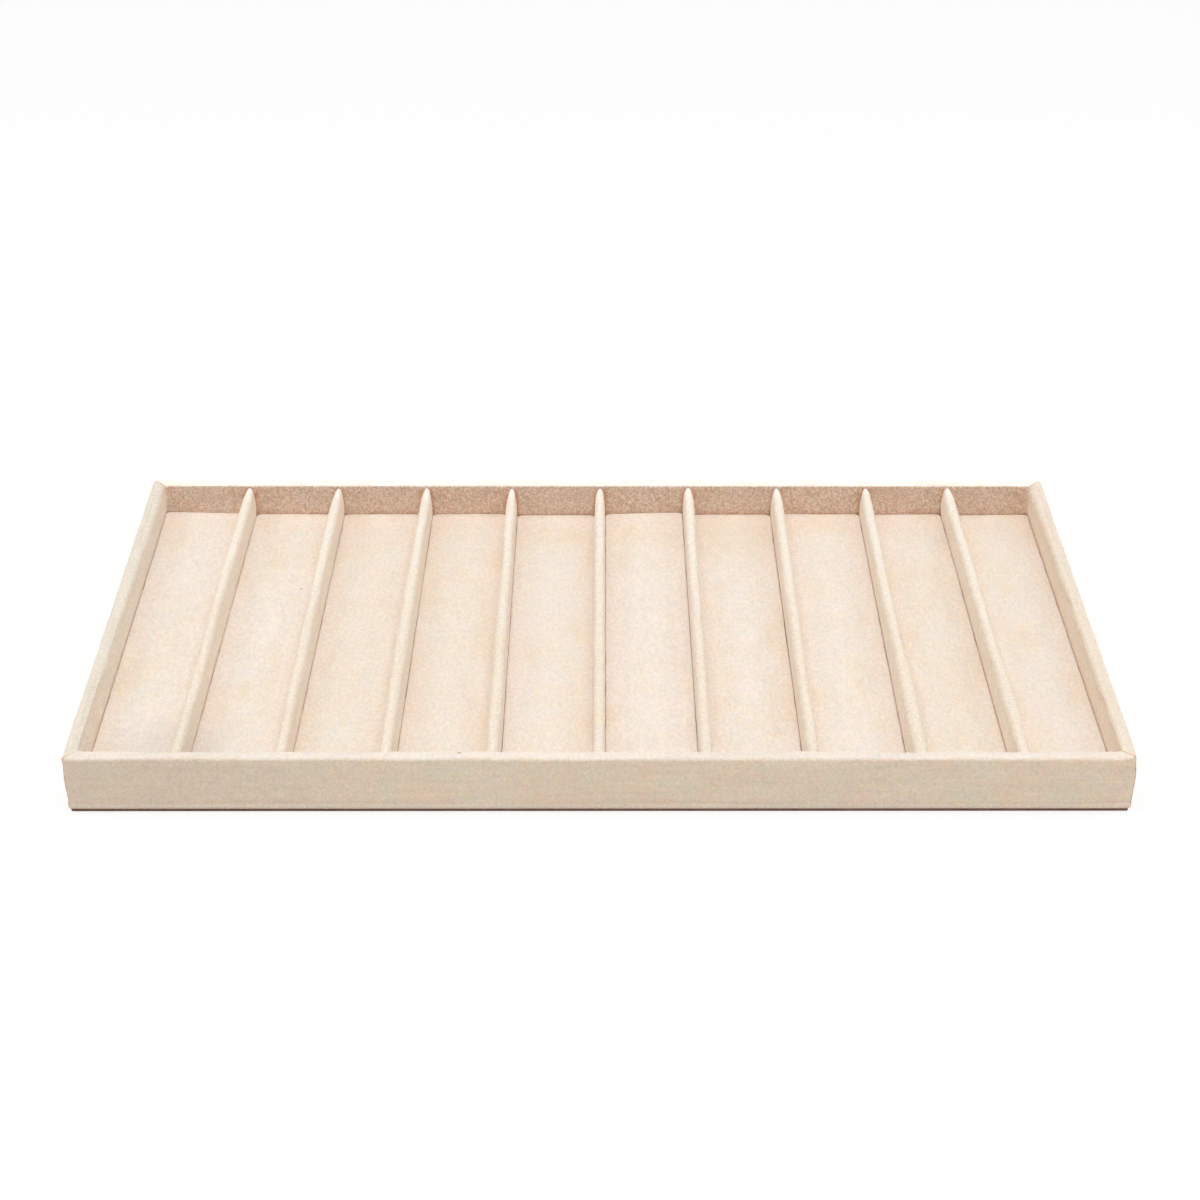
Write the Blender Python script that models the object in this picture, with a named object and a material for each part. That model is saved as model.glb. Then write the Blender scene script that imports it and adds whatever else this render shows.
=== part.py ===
"""A flat necklace tray insert with ten long channels.

A shallow frame of four mitred boards stands round a base board. Each frame
board is wrapped in one strip of microsuede that starts under the tray, climbs
the outside, rolls over the rim and is turned in over the base board. Nine thin
upright boards, each under its own folded cover, split the tray into channels,
and every channel has its own fabric-wrapped card as a floor.

The long side lies along X, the front looks along -Y, Z is up, and the origin
is under the middle of the tray at the surface it stands on. Lengths are metres.
"""
import math

import bmesh
import bpy
from mathutils import Vector

# Outside of the tray
TRAY_LENGTH = 0.375
TRAY_DEPTH = 0.210
TRAY_HEIGHT = 0.0230

# Thickness of each board, card, fabric and felt, and of the glue line between them
WALL_BOARD = 0.0031
BASE_BOARD = 0.0024
DIVIDER_BOARD = 0.0022
PANEL_CARD = 0.0014
FABRIC = 0.00065
BOTTOM_FELT = 0.0012
GLUE_LINE = 0.0003

# Wrapping of the walls: fabric turned under the tray and in over the base board
TURN_UNDER = 0.0120
TURN_IN = 0.0080
MITRE_GAP = 0.0003
CORNER_RADIUS = 0.0014
BOTTOM_EDGE_RADIUS = 0.0009
RIM_OUTER_RADIUS = 0.0013
RIM_INNER_RADIUS = 0.0011
FOLD_RADIUS = 0.0002

# Dividers
CHANNELS = 10
RIM_TO_DIVIDER_TOP = 0.0010
DIVIDER_END_GAP = 0.0003
DIVIDER_TOP_RADIUS = 0.0019
COVER_FLANGE = 0.0060
TURN_IN_CLEARANCE = 0.0003

# Each divider was set by hand: how far its two ends stand from an even
# spacing, towards the right, as shares of that spacing, from left to right
FRONT_SHIFT_SHARES = (-0.04, -0.05, -0.04, -0.02, -0.01, 0.01, 0.02, 0.03, 0.02)
BACK_SHIFT_SHARES = (0.03, 0.04, 0.05, 0.02, 0.03, 0.03, 0.04, 0.06, 0.0)

# Floor panels: a card in each channel, with the fabric folded round its edges
PANEL_CLEARANCE = 0.0003
PANEL_CORNER_RADIUS = 0.0012
PANEL_EDGE_RADIUS = 0.0009
PANEL_TURN_UNDER = 0.0070
CARD_EASE = 0.0002

# Bottom felt: flat under the turned-under fabric, raised inside it
BOTTOM_INSET = 0.0010
BOTTOM_CORNER_RADIUS = 0.0030
BOTTOM_RISE_START = 0.0005
BOTTOM_RISE_RUN = 0.0025
BOARD_EASE = 0.0003

# Smallest corner that is still drawn round, overrun of cuts, and weld distance
SMALLEST_FILLET = 0.0002
CUT_OVERRUN = 0.0010
WELD_DISTANCE = 0.000001

# Facets in a quarter turn of each kind of corner
RIM_STEPS = 4
EDGE_STEPS = 2
PLAN_STEPS = 3

# One glued layer of fabric, and the walls and dividers with both their layers
LAYER = FABRIC + GLUE_LINE
WALL = WALL_BOARD + 2 * LAYER
DIVIDER = DIVIDER_BOARD + 2 * LAYER

# Levels, from the surface that the tray stands on
TURN_UNDER_Z = BOTTOM_FELT + GLUE_LINE
BOARD_Z = TURN_UNDER_Z + LAYER
BASE_TOP_Z = BOARD_Z + BASE_BOARD
TURN_IN_Z = BASE_TOP_Z + GLUE_LINE
PANEL_Z = TURN_IN_Z + LAYER
CARD_Z = PANEL_Z + LAYER
FLOOR_Z = CARD_Z + PANEL_CARD + LAYER
DIVIDER_TOP_Z = TRAY_HEIGHT - RIM_TO_DIVIDER_TOP

# Plan of the inside, and the even spacing of the dividers
INNER_LENGTH = TRAY_LENGTH - 2 * WALL
INNER_DEPTH = TRAY_DEPTH - 2 * WALL
CHANNEL = (INNER_LENGTH - (CHANNELS - 1) * DIVIDER) / CHANNELS
SPACING = CHANNEL + DIVIDER

# Colours as linear red, green and blue
SUEDE_COLOUR = (0.80, 0.68, 0.56)
FLOOR_COLOUR = (0.85, 0.72, 0.60)
MDF_COLOUR = (0.42, 0.29, 0.17)
CARD_COLOUR = (0.40, 0.38, 0.35)
FELT_COLOUR = (0.17, 0.10, 0.08)


def clear_scene():
    """Remove whatever objects the scene starts with."""
    for item in list(bpy.data.objects):
        bpy.data.objects.remove(item, do_unlink=True)


def finish(name, colour, roughness):
    """Make a matt material of one colour."""
    material = bpy.data.materials.new(name)
    material.use_nodes = True
    shader = material.node_tree.nodes["Principled BSDF"]
    shader.inputs["Base Color"].default_value = (*colour, 1.0)
    shader.inputs["Roughness"].default_value = roughness
    shader.inputs["Metallic"].default_value = 0.0
    return material


def add_object(name, mesh, material):
    """Link a mesh to the scene as a named object with its material."""
    item = bpy.data.objects.new(name, mesh)
    bpy.context.scene.collection.objects.link(item)
    if not mesh.materials:
        mesh.materials.append(material)
    return item


def close_mesh(name, body):
    """Weld a finished bmesh, turn its faces outwards and store it."""
    bmesh.ops.remove_doubles(body, verts=body.verts, dist=WELD_DISTANCE)
    bmesh.ops.dissolve_degenerate(body, edges=body.edges, dist=WELD_DISTANCE)
    bmesh.ops.recalc_face_normals(body, faces=body.faces)
    mesh = bpy.data.meshes.new(name)
    body.to_mesh(mesh)
    body.free()
    return mesh


def rounded_corner(before, corner, after, radius, steps):
    """Points of the arc that rounds one corner of a path."""
    to_before = (before - corner).normalized()
    to_after = (after - corner).normalized()
    half_angle = to_before.angle(to_after) / 2
    inward = (to_before + to_after).normalized()
    centre = corner + inward * (radius / math.sin(half_angle))
    start = corner + to_before * (radius / math.tan(half_angle)) - centre
    end = corner + to_after * (radius / math.tan(half_angle)) - centre
    sweep = start.angle_signed(end)
    points = []
    for step in range(steps + 1):
        turn = -sweep * step / steps
        sine, cosine = math.sin(turn), math.cos(turn)
        arm = Vector((start.x * cosine - start.y * sine, start.x * sine + start.y * cosine))
        points.append(centre + arm)
    return points


def rounded_path(corners, steps):
    """Points along an open path of (place, radius) corners."""
    points = [corners[0][0]]
    for index in range(1, len(corners) - 1):
        place, radius = corners[index]
        if radius > 0:
            before, after = corners[index - 1][0], corners[index + 1][0]
            points += rounded_corner(before, place, after, radius, steps)
        else:
            points.append(place)
    points.append(corners[-1][0])
    return points


def right_of(start, end):
    """Unit vector to the right of the way from start to end."""
    way = (end - start).normalized()
    return Vector((way.y, -way.x))


def back_of_sheet(corners, thickness):
    """Corners of a sheet's hidden side, to the right of its face path."""
    moved = []
    last = len(corners) - 1
    for index, (place, radius) in enumerate(corners):
        if index == 0:
            shift = right_of(place, corners[1][0]) * thickness
            moved.append((place + shift, 0))
        elif index == last:
            shift = right_of(corners[index - 1][0], place) * thickness
            moved.append((place + shift, 0))
        else:
            first = right_of(corners[index - 1][0], place)
            second = right_of(place, corners[index + 1][0])
            turns_right = first.x * second.y - first.y * second.x < 0
            shift = (first + second) * (thickness / (1 + first.dot(second)))
            inner = max(radius - thickness, 0)
            moved.append((place + shift, inner if turns_right else radius + thickness))
    return moved


def sheet_sides(corners, thickness, steps):
    """Face path and back path of a folded sheet, both from its first edge."""
    face = rounded_path(corners, steps)
    back = rounded_path(back_of_sheet(corners, thickness), steps)
    return face, back


def flat(across, up):
    """A place in a section or in plan."""
    return Vector((across, up))


def mitred_strip(name, outline, length):
    """Run a section along one side of the tray and mitre both its ends.

    The section's first coordinate is the distance in from the outer face. The
    strip runs along X with its outer face at Y = 0, and its outer part follows
    the rounded upright corners of the tray.
    """
    body = bmesh.new()
    retreat = MITRE_GAP / math.sqrt(2)
    half = length / 2
    sections = []
    for side in (-1, 1):
        for step in range(PLAN_STEPS + 1):
            turned = step / PLAN_STEPS
            angle = turned * math.pi / 4
            section = []
            for point in outline:
                reach = CORNER_RADIUS - point.x
                if reach > 0:
                    along = half - CORNER_RADIUS + reach * math.sin(angle) - retreat * turned
                    inward = CORNER_RADIUS - reach * math.cos(angle)
                else:
                    along = half - point.x - retreat
                    inward = point.x
                section.append(body.verts.new((side * along, inward, point.y)))
            sections.append(section)
    left, right = sections[: PLAN_STEPS + 1], sections[PLAN_STEPS + 1:]
    ordered = list(reversed(left)) + right
    count = len(outline)
    for first, second in zip(ordered, ordered[1:]):
        for index in range(count):
            following = (index + 1) % count
            body.faces.new((first[index], first[following], second[following], second[index]))
    body.faces.new(ordered[0])
    body.faces.new(list(reversed(ordered[-1])))
    return close_mesh(name, body)


def inset_ring(plan, inset, radius, steps):
    """A plan outline moved inwards by inset, with its corners rounded."""
    count = len(plan)
    moved = []
    for index in range(count):
        before, place, after = plan[index - 1], plan[index], plan[(index + 1) % count]
        first, second = -right_of(before, place), -right_of(place, after)
        moved.append(place + (first + second) * (inset / (1 + first.dot(second))))
    ring = []
    for index in range(count):
        before, place, after = moved[index - 1], moved[index], moved[(index + 1) % count]
        ring += rounded_corner(before, place, after, radius, steps)
    return ring


def ring_body(name, plan, profile, radius):
    """Close a body from rings of (inset, height) round a plan outline."""
    body = bmesh.new()
    rings = []
    for point in profile:
        corner = max(radius - point.x, SMALLEST_FILLET)
        ring = inset_ring(plan, point.x, corner, PLAN_STEPS)
        rings.append([body.verts.new((place.x, place.y, point.y)) for place in ring])
    count = len(rings[0])
    for upper, lower in zip(rings, rings[1:]):
        for index in range(count):
            following = (index + 1) % count
            body.faces.new((upper[index], lower[index], lower[following], upper[following]))
    body.faces.new(rings[0])
    body.faces.new(list(reversed(rings[-1])))
    return close_mesh(name, body)


def prism(name, outline, half_length):
    """Extrude an outline in X and Z along Y, both ways from the middle."""
    body = bmesh.new()
    near = [body.verts.new((point.x, -half_length, point.y)) for point in outline]
    face = body.faces.new(near)
    swept = bmesh.ops.extrude_face_region(body, geom=[face])
    moved = [item for item in swept["geom"] if isinstance(item, bmesh.types.BMVert)]
    bmesh.ops.translate(body, verts=moved, vec=(0, 2 * half_length, 0))
    return close_mesh(name, body)


def rectangle(length, depth):
    """Plan of a rectangle about the origin, running round to the left."""
    x, y = length / 2, depth / 2
    return [flat(-x, -y), flat(x, -y), flat(x, y), flat(-x, y)]


def eased_plate(bottom, top, ease):
    """Profile of a plate between two levels, with its edges eased."""
    return [flat(ease, top), flat(0, top - ease), flat(0, bottom + ease), flat(ease, bottom)]


def wall_wrap_outline():
    """Section of a wall's fabric, from under the tray to over the base board."""
    fold_z = TURN_IN_Z + FABRIC
    corners = [
        (flat(TURN_UNDER, TURN_UNDER_Z), 0),
        (flat(0, TURN_UNDER_Z), BOTTOM_EDGE_RADIUS),
        (flat(0, TRAY_HEIGHT), RIM_OUTER_RADIUS),
        (flat(WALL, TRAY_HEIGHT), RIM_INNER_RADIUS),
        (flat(WALL, fold_z), FOLD_RADIUS),
        (flat(WALL + TURN_IN, fold_z), 0),
    ]
    face, back = sheet_sides(corners, FABRIC, RIM_STEPS)
    return face + back[::-1]


def wall_board_outline():
    """Section of a wall's board, a glue line inside its fabric."""
    outer, inner = LAYER, WALL - LAYER
    top = TRAY_HEIGHT - LAYER
    middle = (outer + inner) / 2
    corners = [
        (flat(middle, BOARD_Z), 0),
        (flat(outer, BOARD_Z), 0),
        (flat(outer, top), max(RIM_OUTER_RADIUS - LAYER, 0)),
        (flat(inner, top), max(RIM_INNER_RADIUS - LAYER, 0)),
        (flat(inner, BOARD_Z), 0),
        (flat(middle, BOARD_Z), 0),
    ]
    return rounded_path(corners, EDGE_STEPS)[:-1]


def build_walls(suede, mdf):
    """Four mitred frame boards, each in its own folded strip of fabric."""
    wrap, board = wall_wrap_outline(), wall_board_outline()
    long_wrap = mitred_strip("long_wall_wrap", wrap, TRAY_LENGTH)
    long_board = mitred_strip("long_wall_board", board, TRAY_LENGTH)
    short_wrap = mitred_strip("short_wall_wrap", wrap, TRAY_DEPTH)
    short_board = mitred_strip("short_wall_board", board, TRAY_DEPTH)
    sides = (
        ("front", long_wrap, long_board, (0, -TRAY_DEPTH / 2, 0), 0),
        ("right", short_wrap, short_board, (TRAY_LENGTH / 2, 0, 0), 1),
        ("back", long_wrap, long_board, (0, TRAY_DEPTH / 2, 0), 2),
        ("left", short_wrap, short_board, (-TRAY_LENGTH / 2, 0, 0), 3),
    )
    for side, wrap_mesh, board_mesh, place, quarter_turns in sides:
        for item in (
            add_object(f"{side}_wall_wrap", wrap_mesh, suede),
            add_object(f"{side}_wall_board", board_mesh, mdf),
        ):
            item.location = place
            item.rotation_euler.z = quarter_turns * math.pi / 2


def build_base(mdf):
    """The base board, held inside the frame boards."""
    room = LAYER + WALL_BOARD + GLUE_LINE
    plan = rectangle(TRAY_LENGTH - 2 * room, TRAY_DEPTH - 2 * room)
    mesh = ring_body("base_board", plan, eased_plate(BOARD_Z, BASE_TOP_Z, BOARD_EASE), 0)
    add_object("base_board", mesh, mdf)


def build_bottom_felt(felt):
    """The felt under the tray, which hides the turned-under fabric.

    It lies flat below that fabric and steps up inside it to the base board, so
    the tray stands on a flat border round a slightly raised middle.
    """
    plan = rectangle(TRAY_LENGTH - 2 * BOTTOM_INSET, TRAY_DEPTH - 2 * BOTTOM_INSET)
    rise_start = TURN_UNDER - BOTTOM_INSET + BOTTOM_RISE_START
    rise_end = rise_start + BOTTOM_RISE_RUN
    raised = BOARD_Z - GLUE_LINE - BOTTOM_FELT
    corners = [
        (flat(rise_end + BOTTOM_RISE_RUN, raised), 0),
        (flat(rise_end, raised), 0),
        (flat(rise_start, 0), 0),
        (flat(0, 0), 0),
    ]
    face, back = sheet_sides(corners, BOTTOM_FELT, EDGE_STEPS)
    mesh = ring_body("bottom_cover", plan, back + face[::-1], BOTTOM_CORNER_RADIUS)
    add_object("bottom_cover", mesh, felt)


def divider_line(number):
    """Middle of a divider at the tray's centre, and its lean in X along Y."""
    even = (number - CHANNELS / 2) * SPACING
    front = even + FRONT_SHIFT_SHARES[number - 1] * SPACING
    back = even + BACK_SHIFT_SHARES[number - 1] * SPACING
    return (front + back) / 2, (back - front) / INNER_DEPTH


def divider_board_outline():
    """Section of a divider's board, round along its top edge."""
    half = DIVIDER_BOARD / 2
    top = DIVIDER_TOP_Z - LAYER
    radius = min(max(DIVIDER_TOP_RADIUS - LAYER, 0), half - SMALLEST_FILLET / 2)
    corners = [
        (flat(-half, TURN_IN_Z), 0),
        (flat(-half, top), radius),
        (flat(half, top), radius),
        (flat(half, TURN_IN_Z), 0),
    ]
    return rounded_path(corners, RIM_STEPS)


def divider_cover_outline():
    """Section of a divider's cover, with a flange on each side at the base."""
    half = DIVIDER / 2
    flange_z = TURN_IN_Z + FABRIC
    corners = [
        (flat(-half - COVER_FLANGE, flange_z), 0),
        (flat(-half, flange_z), FOLD_RADIUS),
        (flat(-half, DIVIDER_TOP_Z), DIVIDER_TOP_RADIUS),
        (flat(half, DIVIDER_TOP_Z), DIVIDER_TOP_RADIUS),
        (flat(half, flange_z), FOLD_RADIUS),
        (flat(half + COVER_FLANGE, flange_z), 0),
    ]
    face, back = sheet_sides(corners, FABRIC, RIM_STEPS)
    return face + back[::-1]


def turn_in_cutter(name, side):
    """Block that clears the fabric turned in from the front or back wall."""
    inner = INNER_DEPTH / 2 - TURN_IN - TURN_IN_CLEARANCE
    outer = INNER_DEPTH / 2 + CUT_OVERRUN
    low, high = BASE_TOP_Z - CUT_OVERRUN, PANEL_Z
    half = INNER_LENGTH / 2
    outline = [flat(-half, low), flat(half, low), flat(half, high), flat(-half, high)]
    cutter = add_object(name, prism(name, outline, (outer - inner) / 2), None)
    cutter.location.y = side * (outer + inner) / 2
    cutter.hide_render = True
    cutter.display_type = "WIRE"
    return cutter


def cut(item, cutter):
    """Take a cutter's shape out of an object."""
    modifier = item.modifiers.new(cutter.name, "BOOLEAN")
    modifier.operation = "DIFFERENCE"
    modifier.object = cutter


def build_dividers(suede, card):
    """Nine upright boards under folded covers, notched over the turned-in fabric."""
    half_length = INNER_DEPTH / 2 - DIVIDER_END_GAP
    board = prism("divider_board", divider_board_outline(), half_length)
    cover = prism("divider_cover", divider_cover_outline(), half_length)
    cutters = (turn_in_cutter("front_clearance", -1), turn_in_cutter("back_clearance", 1))
    for number in range(1, CHANNELS):
        middle, lean = divider_line(number)
        for item in (
            add_object(f"divider_board_{number}", board, card),
            add_object(f"divider_cover_{number}", cover, suede),
        ):
            item.location.x = middle
            item.rotation_euler.z = -math.atan(lean)
            for cutter in cutters:
                cut(item, cutter)


def channel_edge(number, y, side):
    """Where a channel's side lies at y: the wall, or the face of a divider."""
    if number in (0, CHANNELS):
        return -side * INNER_LENGTH / 2
    middle, lean = divider_line(number)
    return middle + lean * y + side * DIVIDER / 2


def panel_plan(channel):
    """Plan of a channel's floor panel, a clearance inside the channel."""
    y = INNER_DEPTH / 2 - PANEL_CLEARANCE
    left = [channel_edge(channel - 1, place, 1) + PANEL_CLEARANCE for place in (-y, y)]
    right = [channel_edge(channel, place, -1) - PANEL_CLEARANCE for place in (-y, y)]
    return [flat(left[0], -y), flat(right[0], -y), flat(right[1], y), flat(left[1], y)]


def lining_profile():
    """Rings of a floor lining, from the middle of its face round to its back."""
    corners = [
        (flat(PANEL_TURN_UNDER, PANEL_Z), 0),
        (flat(0, PANEL_Z), PANEL_EDGE_RADIUS),
        (flat(0, FLOOR_Z), PANEL_EDGE_RADIUS),
        (flat(PANEL_TURN_UNDER, FLOOR_Z), 0),
    ]
    face, back = sheet_sides(corners, FABRIC, EDGE_STEPS)
    return face[::-1] + back


def build_floor(lining_fabric, card):
    """A fabric-wrapped card on the floor of each channel."""
    lining = lining_profile()
    plate = [
        flat(LAYER + point.x, point.y)
        for point in eased_plate(CARD_Z, CARD_Z + PANEL_CARD, CARD_EASE)
    ]
    for channel in range(1, CHANNELS + 1):
        plan = panel_plan(channel)
        name = f"floor_lining_{channel:02d}"
        add_object(name, ring_body(name, plan, lining, PANEL_CORNER_RADIUS), lining_fabric)
        name = f"floor_card_{channel:02d}"
        add_object(name, ring_body(name, plan, plate, PANEL_CORNER_RADIUS), card)


def shade_round_edges():
    """Shade every visible piece smooth between its real corners."""
    for mesh in bpy.data.meshes:
        mesh.shade_smooth()
        mesh.set_sharp_from_angle(angle=math.radians(40))


def main():
    """Build the whole tray."""
    clear_scene()
    suede = finish("wall_microsuede", SUEDE_COLOUR, 0.95)
    lining_fabric = finish("floor_microsuede", FLOOR_COLOUR, 0.95)
    mdf = finish("fibreboard", MDF_COLOUR, 0.8)
    card = finish("greyboard", CARD_COLOUR, 0.9)
    felt = finish("bottom_felt", FELT_COLOUR, 0.95)
    build_bottom_felt(felt)
    build_base(mdf)
    build_walls(suede, mdf)
    build_dividers(suede, card)
    build_floor(lining_fabric, card)
    shade_round_edges()


main()
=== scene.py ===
"""Looks of a flat necklace tray insert: brushed microsuede glued over a board frame.

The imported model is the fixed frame. Its boards and cards stay and get their own finishes. Every
piece of fabric is built again here, at the same place, as the folded sheet that it is, with soft
folds, uneven edges and a brushed nap.

Lengths are metres. X runs along the tray, the front looks along -Y, Z is up.
"""

import logging
import math
from collections.abc import Sequence
from dataclasses import dataclass, field, replace
from enum import Enum

import bmesh
import bpy
from bmesh.types import BMVert
from bpy.types import Material, Mesh, NodeOutputs, NodeSocket, NodeTree, Object
from mathutils import Matrix, Vector, noise


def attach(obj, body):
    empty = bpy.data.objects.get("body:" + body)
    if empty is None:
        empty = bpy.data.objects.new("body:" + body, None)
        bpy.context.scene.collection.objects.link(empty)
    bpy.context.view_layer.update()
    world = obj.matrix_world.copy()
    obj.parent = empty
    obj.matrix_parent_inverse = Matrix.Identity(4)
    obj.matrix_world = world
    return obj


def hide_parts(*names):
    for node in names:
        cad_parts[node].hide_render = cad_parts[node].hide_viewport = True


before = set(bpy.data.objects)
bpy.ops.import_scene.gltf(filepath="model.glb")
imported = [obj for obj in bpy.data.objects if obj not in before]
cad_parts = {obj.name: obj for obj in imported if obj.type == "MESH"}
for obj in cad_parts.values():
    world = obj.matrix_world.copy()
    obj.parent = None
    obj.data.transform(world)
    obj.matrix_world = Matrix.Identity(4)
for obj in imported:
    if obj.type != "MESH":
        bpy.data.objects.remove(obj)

LOG = logging.getLogger("necklace_tray")
BODY = "root"
MM = 0.001

# Sheets and glue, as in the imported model
FABRIC = 0.65 * MM
GLUE_LINE = 0.3 * MM
DIVIDER_BOARD = 2.2 * MM
HALF_DIVIDER = DIVIDER_BOARD / 2 + (FABRIC + GLUE_LINE)

# How far the glued side of a sheet can follow its face towards the board
GLUE_SLACK = 0.2 * MM

# Levels, from the surface that the tray stands on
TRAY_HEIGHT = 23.0 * MM
TURN_UNDER_Z = 1.5 * MM
TURN_IN_Z = 5.15 * MM
PANEL_Z = 6.1 * MM
FLOOR_Z = 9.4 * MM

# Plan of the tray and its walls, and how far their fabric is turned in over the base
TRAY_LENGTH = 375.0 * MM
TRAY_DEPTH = 210.0 * MM
WALL = 5.0 * MM
INNER_LENGTH = TRAY_LENGTH - 2 * WALL
INNER_DEPTH = TRAY_DEPTH - 2 * WALL
TURN_IN = 8.0 * MM

# How far the felt below stays inside the outline, and the cells of its mesh
FELT_INSET = 1.0 * MM
FELT_CELL = 6.0 * MM

# Each mesh point carries painted light: up to 1 is painted shade in seams, gaps, corners and under rims,
# and down to -1 is a painted highlight on rims, tops and edges
PAINTED_LIGHT = "seam"
WELD = 0.002 * MM

# A pair is the low and high of smooth(), or the middle and reach of hump()
Pair = tuple[float, float]
Triple = tuple[float, float, float]


class Slot(Enum):
    """Names of the material slots."""

    WALL = "wall_microsuede"
    FLOOR = "floor_microsuede"
    FIBREBOARD = "fibreboard"
    GREYBOARD = "greyboard"
    BOTTOM = "bottom_felt"


class Side(Enum):
    """Walls of the tray, each with its turns of 90 degrees from the front."""

    FRONT = 0
    RIGHT = 1
    BACK = 2
    LEFT = 3


class Hold(Enum):
    """How a sheet of cloth is held."""

    STRETCHED = "stretched"
    FOLDED = "folded"


def linear(colour: str) -> tuple[float, ...]:
    """Turn an sRGB hex colour into linear light.

    Args:
        colour: Six hex digits, red first.

    Returns:
        Linear red, green and blue, and an alpha of 1.
    """
    values = [int(colour[start:start + 2], 16) / 255 for start in (0, 2, 4)]
    light = [value / 12.92 if value <= 0.04045 else ((value + 0.055) / 1.055) ** 2.4 for value in values]
    return (*light, 1.0)


def add_node(
    tree: NodeTree, kind: str, settings: dict | None = None, links: dict | None = None
) -> NodeOutputs:
    """Add a node with its settings and links.

    Args:
        tree: Node tree that the node joins.
        kind: Type of the node, without the prefix that all shader nodes have.
        settings: Values by property name, or by name or number of an input.
        links: Output sockets by name or number of the input that each feeds.

    Returns:
        The outputs of the new node, by name or number.
    """
    node = tree.nodes.new(f"ShaderNode{kind}")
    for key, value in (settings or {}).items():
        if isinstance(key, str) and hasattr(node, key):
            setattr(node, key, value)
        else:
            node.inputs[key].default_value = value
    for key, output in (links or {}).items():
        tree.links.new(output, node.inputs[key])
    return node.outputs


def empty_material(name: str) -> tuple[Material, NodeTree]:
    """Make a material whose node tree is empty.

    Args:
        name: Name of the material.

    Returns:
        The material and its node tree.
    """
    material = bpy.data.materials.new(name)
    material.use_nodes = True
    material.node_tree.nodes.clear()
    return material, material.node_tree


def lay_surface(
    tree: NodeTree, colour: NodeSocket, height: NodeSocket, relief: Pair, look: dict
) -> None:
    """End a material with its coloured surface and the relief on it.

    Args:
        tree: Node tree of the material.
        colour: Colour of the surface.
        height: Height of the relief, about 0 to 1.
        relief: Strength of the relief, and its depth in mm.
        look: Settings of the surface.
    """
    bump = {"Strength": relief[0], "Distance": relief[1] * MM}
    normal = add_node(tree, "Bump", bump, {"Height": height})[0]
    shader = add_node(tree, "BsdfPrincipled", look, {"Base Color": colour, "Normal": normal})[0]
    add_node(tree, "OutputMaterial", links={"Surface": shader})


def smooth(value: float, low: float, high: float) -> float:
    """Ease a value from 0 at low to 1 at high; low may be the larger.

    Args:
        value: The value to ease.
        low: Where the result is 0.
        high: Where the result is 1.

    Returns:
        A share from 0 to 1.
    """
    share = min(max((value - low) / (high - low), 0.0), 1.0)
    return share * share * (3 - 2 * share)


def hump(value: float, middle: float, reach: float) -> float:
    """Height of a soft hump, 1 at its middle and about a third a reach away.

    Args:
        value: Where the height is taken.
        middle: Where the hump is highest.
        reach: How far it spreads.

    Returns:
        A share from 0 to 1.
    """
    apart = (value - middle) / reach
    return math.exp(-apart * apart)


def rounding(share: float) -> float:
    """Drop of a quarter round at a share of its radius, as a share of the radius."""
    return 1 - math.sqrt(max(1 - share * share, 0.0))


@dataclass(frozen=True)
class Speck:
    """A soft round mark of another tone, at a place on the tray in mm: a speck of lint, a faint stain or a
    large soft darker patch.
    """

    place_mm: Triple
    radius_mm: float
    tone: str


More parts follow.
